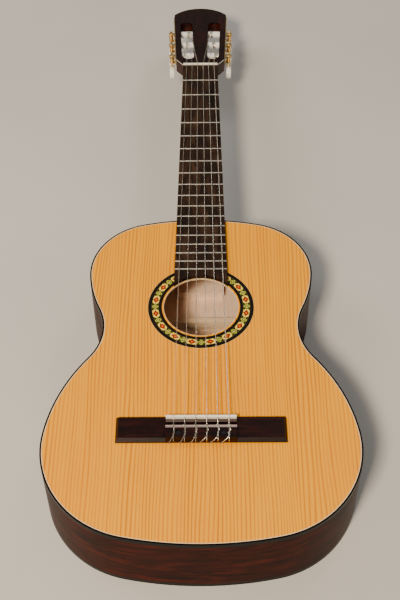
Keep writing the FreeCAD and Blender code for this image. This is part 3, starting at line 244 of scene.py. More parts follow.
def open_grain(name, tones, axis="Y", pore_mm=0.5, length=0.02, inside=None, **sockets):
    """A hardwood with long dark pores and slow bands of colour along one axis.

    The tones are dark, middle and light. Beyond the limit given by inside, as (axis, comparison,
    place), the wood is bare and pale, as it is within the box.
    """
    dark, middle, light = tones
    material, tree, shader, place = new_material(name, **sockets)
    stretch = {"X": (length, 1.0, 1.0), "Y": (1.0, length, 1.0), "Z": (1.0, 1.0, length),
               "round": (length, length, 1.0)}[axis]
    slow = tuple(1.0 if v == 1.0 else min(1.0, v * 6) for v in stretch)
    drawn = add_node(tree, "Mapping", {"Vector": place, "Scale": stretch})
    pores = add_node(tree, "TexNoise", {"Vector": drawn, "Scale": 1 / (pore_mm * MM), "Detail": 3.0,
                                        "Roughness": 0.6})
    banded = add_node(tree, "Mapping", {"Vector": place, "Scale": slow, "Location": (0.3, 0.1, 0.7)})
    bands = add_node(tree, "TexNoise", {"Vector": banded, "Scale": 1 / (pore_mm * 14 * MM), "Detail": 3.0,
                                        "Roughness": 0.55, "Distortion": 0.6})
    body = add_node(tree, "ValToRGB", {"Fac": bands}, stops=((0.3, dark), (0.5, middle), (0.72, light)))
    pore_share = add_node(tree, "ValToRGB", {"Fac": pores}, stops=((0.36, 0.75), (0.52, 0.0)))
    colour = add_node(tree, "Mix", {0: pore_share, 6: body, 7: srgb(dark)}, 2, data_type="RGBA",
                      blend_type="MULTIPLY")
    if inside is not None:
        limit_axis, comparison, limit = inside
        position = add_node(tree, "SeparateXYZ", {"Vector": place}, limit_axis)
        beyond = add_node(tree, "Math", {0: position, 1: limit}, operation=comparison)
        bare = add_node(tree, "ValToRGB", {"Fac": pores},
                        stops=((0.3, "E2B894"), (0.5, "FADCC0"), (0.7, "FFE8D0")))
        colour = add_node(tree, "Mix", {0: beyond, 6: colour, 7: bare}, 2, data_type="RGBA")
    dress(tree, shader, colour, pores, 0.05, 0.3)
    return material


def mahogany(look, name, axis, **sockets):
    """Plain-sawn mahogany, stained red-brown and filled: dark, with short soft stripes."""
    return open_grain(name, ("1C0501", look.mahogany_colour, "501605"), axis, 0.7, 0.03, **sockets)


def raw_spruce(name, axis):
    """Planed spruce with no finish, as inside the box: matt, with faint rings 2 mm wide."""
    material, tree, shader, place = new_material(name, Roughness=0.75, Specular_IOR_Level=0.25)
    stretch = (0.015, 1.0, 1.0) if axis == "X" else (1.0, 0.015, 1.0)
    drawn = add_node(tree, "Mapping", {"Vector": place, "Scale": stretch})
    rings = add_node(tree, "TexNoise", {"Vector": drawn, "Scale": 1 / (2.2 * MM), "Detail": 3.0,
                                        "Roughness": 0.6})
    colour = add_node(tree, "ValToRGB", {"Fac": rings},
                      stops=((0.3, "F2DCBC"), (0.6, "E8CAA2"), (0.8, "D6B084")))
    dress(tree, shader, colour, rings, 0.05, 0.3)
    return material


def fingerboard_rosewood():
    """Oiled rosewood: brown and near-black streaks along the board, open pores, no lacquer."""
    return open_grain("rosewood, oiled", ("100A07", "2C1C13", "4A3323"), "Y", 0.55, 0.025, Roughness=0.6,
                      Specular_IOR_Level=0.15)


def dark_rosewood():
    """Bridge rosewood with a wiped satin finish, purple-brown."""
    return open_grain("rosewood, satin", ("0E0404", "200806", "35120E"), "X", 0.5, 0.03, Roughness=0.42,
                      Specular_IOR_Level=0.2, Coat_Weight=0.08, Coat_Roughness=0.25)


def head_veneer():
    """Rosewood veneer under gloss lacquer: near black, with a red cast where the light falls."""
    return open_grain("rosewood veneer, lacquered", ("0C0303", "1C0605", "320E09"), "Y", 0.6, 0.03,
                      Roughness=0.4, Specular_IOR_Level=0.15, Coat_Weight=0.1, Coat_Roughness=0.12)


def binding_plastic():
    """Black celluloid edging, scraped flush and polished: even, with a soft shine."""
    material, tree, shader, place = new_material("celluloid, black polished", Roughness=0.35,
                                                 Specular_IOR_Level=0.12)
    haze = add_node(tree, "TexNoise", {"Vector": place, "Scale": 1 / (14 * MM), "Detail": 2.0})
    colour = add_node(tree, "ValToRGB", {"Fac": haze}, stops=((0.3, "060505"), (0.8, "0E0C0A")))
    scraping = add_node(tree, "TexNoise", {"Vector": place, "Scale": 1 / (1.2 * MM), "Detail": 2.0})
    dress(tree, shader, colour, scraping, 0.02, 0.15)
    return material


def bone():
    """Bleached bone, filed and polished: ivory with faint long pores."""
    material, tree, shader, place = new_material("bone, polished", Roughness=0.35, Subsurface_Weight=0.12,
                                                 Subsurface_Scale=0.002, Coat_Weight=0.2,
                                                 Coat_Roughness=0.2)
    drawn = add_node(tree, "Mapping", {"Vector": place, "Scale": (0.1, 1.0, 1.0)})
    pores = add_node(tree, "TexNoise", {"Vector": drawn, "Scale": 1 / (0.7 * MM), "Detail": 3.0})
    cloud = add_node(tree, "TexNoise", {"Vector": place, "Scale": 1 / (9 * MM), "Detail": 2.0})
    body = add_node(tree, "ValToRGB", {"Fac": cloud}, stops=((0.3, "FFFBEE"), (0.75, "FAF0D8")))
    pore_share = add_node(tree, "ValToRGB", {"Fac": pores}, stops=((0.3, 0.35), (0.42, 0.0)))
    colour = add_node(tree, "Mix", {0: pore_share, 6: body, 7: srgb("C9B68C")}, 2, data_type="RGBA")
    dress(tree, shader, colour, pores, 0.03, 0.25)
    return material


def gilt_brass():
    """Brass plate and gears, gilded and lacquered, dulled in the hollows."""
    material, tree, shader, place = new_material("brass, gilded", Metallic=1.0, Roughness=0.24)
    tarnish = add_node(tree, "TexNoise", {"Vector": place, "Scale": 1 / (3 * MM), "Detail": 4.0})
    colour = add_node(tree, "ValToRGB", {"Fac": tarnish},
                      stops=((0.3, "F4E2B8"), (0.6, "E6C88C"), (0.85, "B8925A")))
    rubbed = add_node(tree, "TexNoise", {"Vector": place, "Scale": 1 / (1.5 * MM), "Detail": 3.0})
    dullness = add_node(tree, "ValToRGB", {"Fac": rubbed}, stops=((0.3, 0.16), (0.8, 0.4)))
    tree.links.new(dullness, shader.inputs["Roughness"])
    grit = add_node(tree, "TexNoise", {"Vector": place, "Scale": 1 / (0.5 * MM), "Detail": 2.0})
    dress(tree, shader, colour, grit, 0.02, 0.3)
    return material


def nickel_silver():
    """Fret wire of nickel silver, drawn, crowned and polished lengthwise: pale, bright metal."""
    material, tree, shader, place = new_material("nickel silver, polished", Metallic=1.0, Roughness=0.22)
    drawn = add_node(tree, "Mapping", {"Vector": place, "Scale": (0.05, 1.0, 1.0)})
    lines = add_node(tree, "TexNoise", {"Vector": drawn, "Scale": 1 / (0.35 * MM), "Detail": 3.0})
    colour = add_node(tree, "ValToRGB", {"Fac": lines}, stops=((0.3, "E9E6DE"), (0.75, "BDB8AC")))
    dress(tree, shader, colour, lines, 0.02, 0.3)
    return material


def blued_steel():
    """Cap of the bridge bolt: dark oxidised steel, worn in spots a millimetre wide."""
    material, tree, shader, place = new_material("steel, blackened", Metallic=1.0, Roughness=0.35)
    wear = add_node(tree, "TexNoise", {"Vector": place, "Scale": 1 / (0.9 * MM), "Detail": 3.0})
    colour = add_node(tree, "ValToRGB", {"Fac": wear}, stops=((0.35, "2B2A2E"), (0.7, "5C5A60")))
    dress(tree, shader, colour, wear, 0.04, 0.4)
    return material


def pearl_plastic(look):
    """Cast pearloid: milky with drifting silver swirls under a gloss skin."""
    material, tree, shader, place = new_material("pearloid, cast", Roughness=0.25, Coat_Weight=0.5,
                                                 Coat_Roughness=0.05)
    swirl = add_node(tree, "TexNoise", {"Vector": place, "Scale": 1 / (5 * MM), "Detail": 4.0,
                                        "Roughness": 0.6, "Distortion": 2.5})
    colour = add_node(tree, "ValToRGB", {"Fac": swirl},
                      stops=((0.3, "EDEDE8"), (0.5, look.button_colour), (0.7, "F4F4EE")))
    dress(tree, shader, colour, swirl, 0.03, 0.1)
    return material


def roller_plastic():
    """Acetal, moulded and turned: a soft white barrel with faint marks round it."""
    material, tree, shader, place = new_material("acetal, moulded white", Roughness=0.3, Coat_Weight=0.25,
                                                 Coat_Roughness=0.15, Subsurface_Weight=0.08,
                                                 Subsurface_Scale=0.002)
    turned = add_node(tree, "Mapping", {"Vector": place, "Scale": (1.0, 0.1, 0.1)})
    marks = add_node(tree, "TexNoise", {"Vector": turned, "Scale": 1 / (0.6 * MM), "Detail": 2.0})
    colour = add_node(tree, "ValToRGB", {"Fac": marks}, stops=((0.3, "FFFFFF"), (0.8, "F4F2EC")))
    dress(tree, shader, colour, marks, 0.03, 0.3)
    return material


def nylon():
    """Clear drawn nylon: bright edges, the wood showing through."""
    material, tree, shader, place = new_material("nylon, drawn clear", Roughness=0.1, IOR=1.53,
                                                 Transmission_Weight=0.85)
    drawn = add_node(tree, "Mapping", {"Vector": place, "Scale": (1.0, 0.1, 1.0)})
    cloud = add_node(tree, "TexNoise", {"Vector": drawn, "Scale": 1 / (2 * MM), "Detail": 2.0})
    colour = add_node(tree, "ValToRGB", {"Fac": cloud}, stops=((0.3, "F4F0E6"), (0.8, "DDD8CC")))
    dress(tree, shader, colour)
    return material


def wound_wire(look):
    """Silver-plated copper wire wound on a nylon core: bright, with a dark line of painted shade between
    turns.

    The real turns are a quarter of a millimetre apart; they are drawn four times as far apart
    so that they show.
    """
    material, tree, shader, place = new_material("silvered copper, close wound", Metallic=1.0,
                                                 Roughness=0.26)
    y = add_node(tree, "SeparateXYZ", {"Vector": place}, "Y")
    phase = add_node(tree, "Math", {0: y, 1: 2 * math.pi / look.winding_pitch}, operation="MULTIPLY")
    wave = add_node(tree, "Math", {0: phase}, operation="SINE")
    height = add_node(tree, "Math", {0: wave, 1: 0.5, 2: 0.5}, operation="MULTIPLY_ADD")
    dull = add_node(tree, "TexNoise", {"Vector": place, "Scale": 1 / (12 * MM), "Detail": 2.0})
    metal = add_node(tree, "ValToRGB", {"Fac": dull}, stops=((0.3, "FFFAF0"), (0.75, "E8DCC8")))
    # Painted shade: the colour darkens towards grey-brown in the hollow between turns, where shade falls.
    groove_painted_shade = add_node(tree, "ValToRGB", {"Fac": height}, stops=((0.0, 0.55), (0.5, 0.0)))
    colour = add_node(tree, "Mix", {0: groove_painted_shade, 6: metal, 7: srgb("A09078")}, 2, data_type="RGBA")
    dress(tree, shader, colour, height, 0.08, 0.6)
    return material


def trim_laminate():
    """Celluloid laminate, glued up and polished: thin lilac-grey and dark lines along the bridge."""
    material, tree, shader, place = new_material("celluloid laminate, polished", Roughness=0.28,
                                                 Coat_Weight=0.3, Coat_Roughness=0.15)
    y = add_node(tree, "SeparateXYZ", {"Vector": place}, "Y")
    from_edge = add_node(tree, "Math", {0: y, 1: float(TRIM_LOW[1])}, operation="SUBTRACT")
    share = add_node(tree, "Math", {0: from_edge, 1: float(TRIM_HIGH[1] - TRIM_LOW[1])}, operation="DIVIDE")
    stripes = add_node(tree, "ValToRGB", {"Fac": share},
                       stops=((0.0, "B5A3A0"), (0.24, "A08E8C"), (0.32, "3A2B28"), (0.44, "A89694"),
                              (0.8, "BAA8A6"), (0.9, "4A3A36")))
    drawn = add_node(tree, "Mapping", {"Vector": place, "Scale": (0.2, 1.0, 1.0)})
    cloud = add_node(tree, "TexNoise", {"Vector": drawn, "Scale": 1 / (2 * MM), "Detail": 3.0})
    shade = add_node(tree, "ValToRGB", {"Fac": cloud}, stops=((0.3, 0.35), (0.7, 1.0)))
    colour = add_node(tree, "Mix", {0: 0.25, 6: stripes, 7: shade}, 2, data_type="RGBA",
                      blend_type="MULTIPLY")
    dress(tree, shader, colour, cloud, 0.02, 0.2)
    return material


# --------------------------------------------------------- mesh helpers
def surface(name, points, close_u=False, close_v=False, smooth=True):
    """A mesh from a grid of points (rows, columns, 3), with quads between neighbours.

    Row i and column j join to i + 1 and j + 1; a closed direction joins its last line to its first.
    """
    rows, columns = points.shape[:2]
    row_count = rows if close_u else rows - 1
    column_count = columns if close_v else columns - 1
    i, j = np.meshgrid(np.arange(row_count), np.arange(column_count), indexing="ij")
    next_i = (i + 1) % rows
    next_j = (j + 1) % columns
    faces = np.stack([i * columns + j, i * columns + next_j, next_i * columns + next_j,
                      next_i * columns + j], axis=-1).reshape(-1, 4)
    return mesh_object(name, points.reshape(-1, 3), faces, smooth)


def mesh_object(name, vertices, faces, smooth):
    """Fill a mesh from arrays; faces all have the same number of corners."""
    mesh = bpy.data.meshes.new(name)
    corners = faces.shape[1]
    mesh.vertices.add(len(vertices))
    mesh.vertices.foreach_set("co", np.asarray(vertices, dtype=np.float32).ravel())
    mesh.loops.add(faces.size)
    mesh.loops.foreach_set("vertex_index", faces.ravel().astype(np.int32))
    mesh.polygons.add(len(faces))
    mesh.polygons.foreach_set("loop_start", np.arange(0, faces.size, corners, dtype=np.int32))
    mesh.update(calc_edges=True)
    mesh.validate()
    mesh.polygons.foreach_set("use_smooth", np.full(len(mesh.polygons), smooth))
    piece = bpy.data.objects.new(name, mesh)
    bpy.context.scene.collection.objects.link(piece)
    return piece


def catmull_rom(points, steps):
    """A smooth path through its points: cubic spans whose end slopes are half the span across."""
    p = np.vstack([2 * points[0] - points[1], points, 2 * points[-1] - points[-2]])
    t = np.linspace(0, 1, steps, endpoint=False)[:, None, None]
    a, b, c, d = p[:-3], p[1:-2], p[2:-1], p[3:]
    spans = 0.5 * (2 * b + (c - a) * t + (2 * a - 5 * b + 4 * c - d) * t ** 2
                   + (3 * b - a - 3 * c + d) * t ** 3)
    return np.vstack([spans.transpose(1, 0, 2).reshape(-1, 3), points[-1:]])


def unit(vectors):
    """Vectors divided by their own lengths."""
    return vectors / np.linalg.norm(vectors, axis=-1, keepdims=True)


def tube(name, path, radius, sides=12, guide=(1.0, 0.0, 0.3)):
    """Round section carried along a path without turning about it, closed by a small cap at each end.

    The guide made square to the path at its start gives a first direction. Each next point has the
    one before it made square to the path there, and a second direction is square to both. The
    section is the middle point plus radius times (cos a * first + sin a * second), for a in 0 to 2 pi.
    """
    tangent = unit(np.gradient(path, axis=0))
    first = np.zeros_like(path)
    carried = np.array(guide)
    for index, direction in enumerate(tangent):
        carried = unit(carried - direction * np.dot(carried, direction))
        first[index] = carried
    second = np.cross(tangent, first)
    angle = np.linspace(0, 2 * math.pi, sides, endpoint=False)[:, None]
    ring = radius * (np.cos(angle) * first[:, None] + np.sin(angle) * second[:, None])
    body = path[:, None] + ring

    def cap(index, lift, share):
        """The end's own ring, moved on along the path and made smaller."""
        return (path[index] + tangent[index] * lift * radius + ring[index] * share)[None]

    grid = np.concatenate([cap(0, -0.8, 0.02), cap(0, -0.5, 0.8), body,
                           cap(-1, 0.5, 0.8), cap(-1, 0.8, 0.02)])
    return surface(name, grid, close_v=True)


def node_points(node):
    """A CAD node's vertices as rows of x, y and z."""
    mesh = frame["nodes"][node].data
    points = np.empty(len(mesh.vertices) * 3, dtype=np.float32)
    mesh.vertices.foreach_get("co", points)
    return points.reshape(-1, 3)


def edge_loop(node, height):
    """Corners of a CAD node's outline at one height, in order round the body's middle.

    Holes are left out: those within the rosette's reach and those that the bridge covers.
    """
    points = np.unique(np.round(node_points(node), 6), axis=0)
    points = points[np.abs(points[:, 2] - height) < 0.2 * MM][:, :2]
    points = points[np.linalg.norm(points - (HOLE_X, HOLE_Y), axis=1) > 1.3 * ROSETTE_RADIUS]
    under_bridge = np.all((points > BRIDGE_LOW[:2]) & (points < BRIDGE_HIGH[:2]), axis=1)
    points = points[~under_bridge]
    low, high = points.min(axis=0), points.max(axis=0)
    middle = (0.0, low[1] + 0.6 * (high[1] - low[1]))
    angle = np.arctan2(points[:, 1] - middle[1], points[:, 0] - middle[0])
    return points[np.argsort(angle)]


def finish_piece(piece, body, material):
    """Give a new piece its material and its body."""
    piece.data.materials.append(material)
    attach(piece, body)
    return piece


def paint(nodes, material):
    """Give CAD nodes a material by their slots only."""
    for node in nodes:
        for slot in frame["nodes"][node].material_slots:
            slot.material = material


# --------------------------------------------------------------- pieces
def make_purfling(look, material):
    """Thin pale line let into the top beside the binding.

    A four-cornered section, as wide as the line, is carried round the soundboard's own outline and
    stands a few hundredths of a millimetre proud.
    """
    loop = edge_loop("soundboard", TOP_Z)
    before, after = np.roll(loop, 1, axis=0), np.roll(loop, -1, axis=0)
    along = unit(after - before)
    inward = np.stack([-along[:, 1], along[:, 0]], axis=1)
    width, proud, deep = look.purfling_width, 0.04 * MM, -0.4 * MM
    section = ((0.0, deep), (0.0, proud), (width, proud), (width, deep))
    rows = [np.column_stack([loop + inward * offset, np.full(len(loop), TOP_Z + lift)])
            for offset, lift in section]
    piece = surface("top_purfling", np.stack(rows, axis=1), close_u=True, close_v=True, smooth=False)
    return finish_piece(piece, "guitar", material)


def make_lip_painted_reflection(look, material):
    """Painted reflection on the lip behind the saddle: a laminated flat plate with its long edges rounded
    off, standing in for light reflected by the lip's sloping face.

    Five points across, sunk at both edges, are swept from one end of the saddle to the other.
    """
    x = np.linspace(TRIM_LOW[0] + 0.1 * MM, TRIM_HIGH[0] - 0.1 * MM, 41)
    y = SADDLE_Y - look.saddle_half - np.array((0.0, 0.3, 2.0, 3.7, 4.0)) * MM
    z = TOP_Z + look.lip_height + np.array((-0.6, 0.08, 0.1, 0.08, -0.6)) * MM
    grid = np.stack([np.broadcast_to(x[:, None], (len(x), len(y))), np.broadcast_to(y, (len(x), len(y))),
                     np.broadcast_to(z, (len(x), len(y)))], axis=-1)
    # This plate is a painted reflection: pale laminate where the lip's wood only reflects light.
    piece = surface("lip_painted_reflection", grid[::-1])
    return finish_piece(piece, "guitar", material)


def string_x(number, spacing):
    """Place of a string across the guitar; the middle falls between the third and the fourth."""
    return (number - 3.5) * spacing


def make_tie(number, look, material):
    """Knot at the bridge: one smooth path with a round section, its points in metres from the string.

    The string leaves its hole at the back, climbs over the tie block, passes under itself in front,
    comes back over the block wrapped about its own strand, and its cut tail points down and away.
    """
    radius = look.string_radii[number - 1]
    treble = number in TREBLES
    turns = look.treble_wraps if treble else look.bass_wraps
    wrap_run = (8.5 if treble else 7.0) * MM
    tail_reach = (6.2 if treble else 9.8) * MM
    block_z = float(BRIDGE_HIGH[2]) + radius
    back = float(BRIDGE_LOW[1])
    front = float(TRIM_HIGH[1])
    hole_z = TOP_Z + look.tie_hole_height
    lean = 0.6 * MM
    start = [(0.0, back - 0.0004, hole_z), (0.0, back - 0.0013, hole_z + 0.0006),
             (0.0, back - 0.0009, hole_z + 0.0030), (lean * 0.4, back + 0.0019, block_z + 0.0001),
             (lean, back + 0.008, block_z), (lean, front - 0.0035, block_z),
             (lean * 1.6, front + 0.0006, block_z - 0.0006), (lean * 1.5, front + 0.0015, hole_z + 0.0005),
             (0.0, front + 0.0017, hole_z - 2.0 * radius), (-lean * 1.9, front + 0.0016, hole_z + 0.0012),
             (-lean * 1.6, front + 0.0002, block_z + 0.0002), (-lean, front - 0.0030, block_z + 0.0009)]
    share = np.linspace(0, 1, 8 * turns + 1)
    wrap_angle = math.pi * 0.9 - share * 2 * math.pi * turns
    reach = radius * 2.0
    wraps = np.column_stack([lean + reach * np.cos(wrap_angle), front - 0.0045 - share * wrap_run,
                             block_z + reach * 0.72 + reach * 0.9 * np.sin(wrap_angle)])
    tail = [(-0.0004, back + 0.0036, block_z + 0.0007), (-0.0014, back + 0.0010, block_z + 0.0002),
            (-0.5 * tail_reach, back - 0.0012, block_z - 0.0026),
            (-tail_reach, back - 0.0028, TOP_Z + 0.0022 + radius)]
    points = np.vstack([np.array(start), wraps, np.array(tail)])
    points[:, 0] += string_x(number, look.saddle_spacing)
    piece = tube(f"tie_{number}", catmull_rom(points, 6), radius, 10)
    return finish_piece(piece, "guitar", material)


def make_head_lines(look, material):
    """Pale line along the head's two lower shoulders, drawn in bone.

    Each is a flat strip between the neck joint and the widest point, on the head's sloping face,
    with its outer edge a little outside the wood; a four-cornered section is swept from end to end.
    """
    points = node_points("head_veneer")
    joint_y = points[:, 1].min()
    at_joint = points[np.abs(points[:, 1] - joint_y) < 0.8 * MM]
    joint_half = float(np.abs(at_joint[:, 0]).max())
    tilt = math.radians(look.head_tilt)
    face_z = TOP_Z + 1.5 * MM
    inner, outer, upper, lower = -0.3 * MM, 0.15 * MM, 0.03 * MM, -0.45 * MM
    for side, label in ((-1, "left"), (1, "right")):
        near = np.array((side * joint_half, joint_y, face_z))
        far = np.array((side * look.shoulder_half, joint_y + look.shoulder_run * math.cos(tilt),
                        face_z - look.shoulder_run * math.sin(tilt)))
        face = np.array((0.0, math.sin(tilt), math.cos(tilt)))
        out = unit(np.cross(unit(far - near), face)) * side
        middle = near + (far - near) * np.linspace(0.02, 0.98, 24)[:, None]
        section = ((inner, upper), (outer, upper), (outer, lower), (inner, lower))
        rows = [middle + out * across + face * lift for across, lift in section]
        piece = surface(f"head_line_{label}", np.stack(rows, axis=1), close_v=True)
        finish_piece(piece, "guitar", material)


POINTS_A_TURN = 28


def make_winding(number, look, material):
    """Turns of string on a roller.

    A helix about the roller's joint axis, one string diameter to a turn, that starts beside the
    string's end and goes towards the gear; the last part lifts into a short cut end.
    """
    joint = JOINTS[f"roller_{number}_turn"]
    axis = unit(np.array(joint["axis"], dtype=float))
    origin = np.array(joint["pos_m"], dtype=float)
    radius = look.string_radii[number - 1]
    treble = number in TREBLES
    side = -1 if treble else 1
    rank = number - 1 if treble else 6 - number
    landing = side * (look.landing_first - rank * look.landing_step)
    up = unit(np.array((0.0, 0.0, 1.0)) - axis * axis[2])
    across = np.cross(axis, up) * -side
    whole = look.roller_turns * 2 * math.pi
    swing = np.linspace(0, 1, int(look.roller_turns * POINTS_A_TURN)) * whole
    angle = math.radians(look.landing_angle) - swing
    lead_in = np.clip(0.9 - swing, 0, 1) * 0.3 * MM
    lift_off = np.clip(swing - whole + 1.2, 0, 1.2) ** 2 * 1.2 * MM
    reach = look.barrel_radius + radius * 1.02 + lead_in + lift_off
    # The first turn lies beside the string's end, so that the roller can turn without cutting it.
    offset = (landing - origin[0]) / axis[0] + (1 + swing / (2 * math.pi)) * radius * 2.1
    path = (origin + axis * offset[:, None] + up * (np.sin(angle) * reach)[:, None]
            - across * (np.cos(angle) * reach)[:, None])
    piece = tube(f"winding_{number}", path, radius, 8, guide=tuple(axis))
    return finish_piece(piece, f"roller_{number}", material)


# ------------------------------------------------------------ properties
class GuitarLook(bpy.types.PropertyGroup):
    """Sizes and colours that a user would change; lengths are in metres, colours linear."""

    top_colour: FloatVectorProperty(name="Top", description="Middle tone of the spruce", subtype="COLOR",
                                    size=4, min=0.0, max=1.0, default=srgb("FAA600"))
    mahogany_colour: FloatVectorProperty(name="Sides and neck", description="Middle tone of the mahogany",
                                         subtype="COLOR", size=4, min=0.0, max=1.0, default=srgb("330B02"))
    button_colour: FloatVectorProperty(name="Buttons", description="Middle tone of the pearloid",
                                       subtype="COLOR", size=4, min=0.0, max=1.0, default=srgb("FFFFFC"))
    ring_spacing: FloatProperty(name="Ring spacing", description="Distance between drawn growth rings",
                                default=0.0042, unit="LENGTH")
    hole_radius: FloatProperty(name="Hole radius", description="Sound hole", default=0.0466, unit="LENGTH")
    rosette_repeats: IntProperty(name="Rosette repeats", description="Red lozenges round the sound hole",
                                 default=16, min=4)
    mosaic_start: FloatProperty(name="Mosaic start", description="Inner radius of the mosaic",
                                default=0.0534, unit="LENGTH", precision=5)
    mosaic_end: FloatProperty(name="Mosaic end", description="Outer radius of the mosaic", default=0.0610,
                              unit="LENGTH", precision=5)
    veneer_line: FloatProperty(name="Veneer line", description="Thin line on each side of the mosaic",
                               default=0.0004, unit="LENGTH", precision=5)
    purfling_width: FloatProperty(name="Purfling width", description="Pale line beside the binding",
                                  default=0.0009, unit="LENGTH")
    winding_pitch: FloatProperty(name="Winding pitch", description="Distance between drawn turns of wire",
                                 default=0.001, unit="LENGTH")
    saddle_spacing: FloatProperty(name="Saddle spacing", description="String to string at the saddle",
                                  default=0.0126, unit="LENGTH")
    tie_hole_height: FloatProperty(name="Tie hole height", description="Above the soundboard",
                                   default=0.0046, unit="LENGTH")
    lip_height: FloatProperty(name="Lip height", description="Wood behind the saddle, above the soundboard",
                              default=0.006, unit="LENGTH")
    saddle_half: FloatProperty(name="Half saddle", description="Half the saddle's thickness", default=0.0016,
                               unit="LENGTH")
    treble_wraps: IntProperty(name="Treble wraps", description="Turns of a nylon tie", default=3, min=1)
    bass_wraps: IntProperty(name="Bass wraps", description="Turns of a wound tie", default=1, min=1)
    string_radii: FloatVectorProperty(name="String radii", description="Thin to thick across the neck",
                                      size=6, default=(0.00036, 0.00041, 0.00051, 0.00038, 0.00046, 0.00056),
                                      precision=5)
    barrel_radius: FloatProperty(name="Barrel radius", description="Roller barrel", default=0.005,
                                 unit="LENGTH")
    roller_turns: FloatProperty(name="Roller turns", description="Turns of string on each roller",
                                default=3.25, min=1.0)
    landing_first: FloatProperty(name="First landing", description="Outer string's place on its roller",
                                 default=0.0225, unit="LENGTH")
    landing_step: FloatProperty(name="Landing step", description="Each next one is nearer the middle by this",
                                default=0.003, unit="LENGTH")
    landing_angle: FloatProperty(name="Landing angle", description="Where strings meet the barrel, degrees",
                                 default=80.0)
    head_tilt: FloatProperty(name="Head tilt", description="Degrees", default=8.0)
    shoulder_half: FloatProperty(name="Shoulder half width", description="Widest point of the lower shoulder",
                                 default=0.0372, unit="LENGTH")
    shoulder_run: FloatProperty(name="Shoulder run", description="Along the head from the neck joint",
                                default=0.017, unit="LENGTH")
    camera_place: FloatVectorProperty(name="Camera place", description="Metres in the guitar's frame", size=3,
                                      default=(0.0043, -1.0546, 1.1413), precision=4)
    camera_pitch: FloatProperty(name="Camera pitch", description="Degrees below the horizon", default=49.44)
    camera_yaw: FloatProperty(name="Camera yaw", description="Degrees", default=-0.35)
    camera_roll: FloatProperty(name="Camera roll", description="Degrees", default=-0.56)
    camera_lens: FloatProperty(name="Lens", description="Millimetres on a 36 mm frame", default=65.8)


def look_of(context):
    """The scene's sizes and colours."""
    return context.scene.guitar_look


# ------------------------------------------------------------- operators
class GUITAR_OT_stage(bpy.types.Operator):
    """Floor, soft lights and the camera"""

    bl_idname = "guitar.stage"
    bl_label = "Set the stage"

    def execute(self, context):
        look = look_of(context)
        make_floor()
        make_lights(context)
        make_camera(context, look)
        return {"FINISHED"}


class GUITAR_OT_box(bpy.types.Operator):
    """Woods, bindings, rosette and the pale line of the sound box"""

    bl_idname = "guitar.box"
    bl_label = "Finish the box"

    def execute(self, context):
        look = look_of(context)
        paint(["soundboard"], spruce_top(look))
        paint(["rosette"], mosaic_ring(look))
        paint(["back"], mahogany(look, "mahogany back, lacquered outside", "Y",
                                 inside=("Z", "GREATER_THAN", 1.2 * MM), Roughness=0.35, Coat_Weight=0.25,
                                 Coat_Roughness=0.15))
        paint(["rib_left", "rib_right"], mahogany(look, "mahogany ribs, lacquered", "round", Roughness=0.45,
                                                  Specular_IOR_Level=0.08))
        paint(["top_binding", "back_binding"], binding_plastic())
        inside = raw_spruce("spruce, planed, along", "Y")
        paint(["soundhole_patch", "fan_braces", "top_lining", "back_lining", "tail_block"], inside)
        paint(["harmonic_bars", "back_braces"], raw_spruce("spruce, planed, across", "X"))
        make_purfling(look, raw_spruce("maple line, lacquered", "Y"))
        return {"FINISHED"}


class GUITAR_OT_neck(bpy.types.Operator):
    """Neck, heel, head, fingerboard, frets and nut"""

    bl_idname = "guitar.neck"
    bl_label = "Finish the neck"

    def execute(self, context):
        look = look_of(context)
        paint(["neck", "head"], mahogany(look, "mahogany neck, satin", "Y", Roughness=0.45, Coat_Weight=0.1,
                                         Specular_IOR_Level=0.25, Coat_Roughness=0.25))
        paint(["heel"], mahogany(look, "mahogany heel, satin outside", "Z",
                                 inside=("Y", "LESS_THAN", BODY_TOP_Y - 2.5 * MM), Roughness=0.45,
                                 Coat_Weight=0.1, Specular_IOR_Level=0.25, Coat_Roughness=0.25))
        paint(["heel_cap"], dark_rosewood())
        paint(["head_veneer"], head_veneer())
        paint(["fingerboard"], fingerboard_rosewood())
        paint(["frets"], nickel_silver())
        pale = bone()
        paint(["nut"], pale)
        make_head_lines(look, pale)
        return {"FINISHED"}


class GUITAR_OT_bridge(bpy.types.Operator):
    """Bridge, saddle, tie block strip and bolts"""

    bl_idname = "guitar.bridge"
    bl_label = "Finish the bridge"

    def execute(self, context):
        look = look_of(context)
        paint(["bridge"], dark_rosewood())
        paint(["saddle"], bone())
        laminate = trim_laminate()
        paint(["tie_block_trim"], laminate)
        # The laminate strip on the lip is a painted reflection of the lip's sloping face.
        make_lip_painted_reflection(look, laminate)
        paint(["bridge_bolts"], blued_steel())
        return {"FINISHED"}


class GUITAR_OT_machines(bpy.types.Operator):
    """Tuning machines: plates, screws, worms, gears, rollers and buttons"""

    bl_idname = "guitar.machines"
    bl_label = "Finish the tuning machines"

    def execute(self, context):
        look = look_of(context)
        brass = gilt_brass()
        paint(["tuner_plate_left", "tuner_plate_right", "plate_screws"], brass)
        paint([f"{kind}_{n}" for n in STRINGS for kind in ("worm_shaft", "tuner_gear")], brass)
        paint([f"roller_{n}" for n in STRINGS], roller_plastic())
        paint([f"button_{n}" for n in STRINGS], pearl_plastic(look))
        return {"FINISHED"}


class GUITAR_OT_strings(bpy.types.Operator):
    """Strings, their knots at the bridge and their turns on the rollers"""

    bl_idname = "guitar.strings"
    bl_label = "Finish the strings"

    def execute(self, context):
        look = look_of(context)
        clear, wound = nylon(), wound_wire(look)
        for number in STRINGS:
            material = clear if number in TREBLES else wound
            paint([f"string_{number}"], material)
            make_tie(number, look, material)
            make_winding(number, look, material)
        return {"FINISHED"}


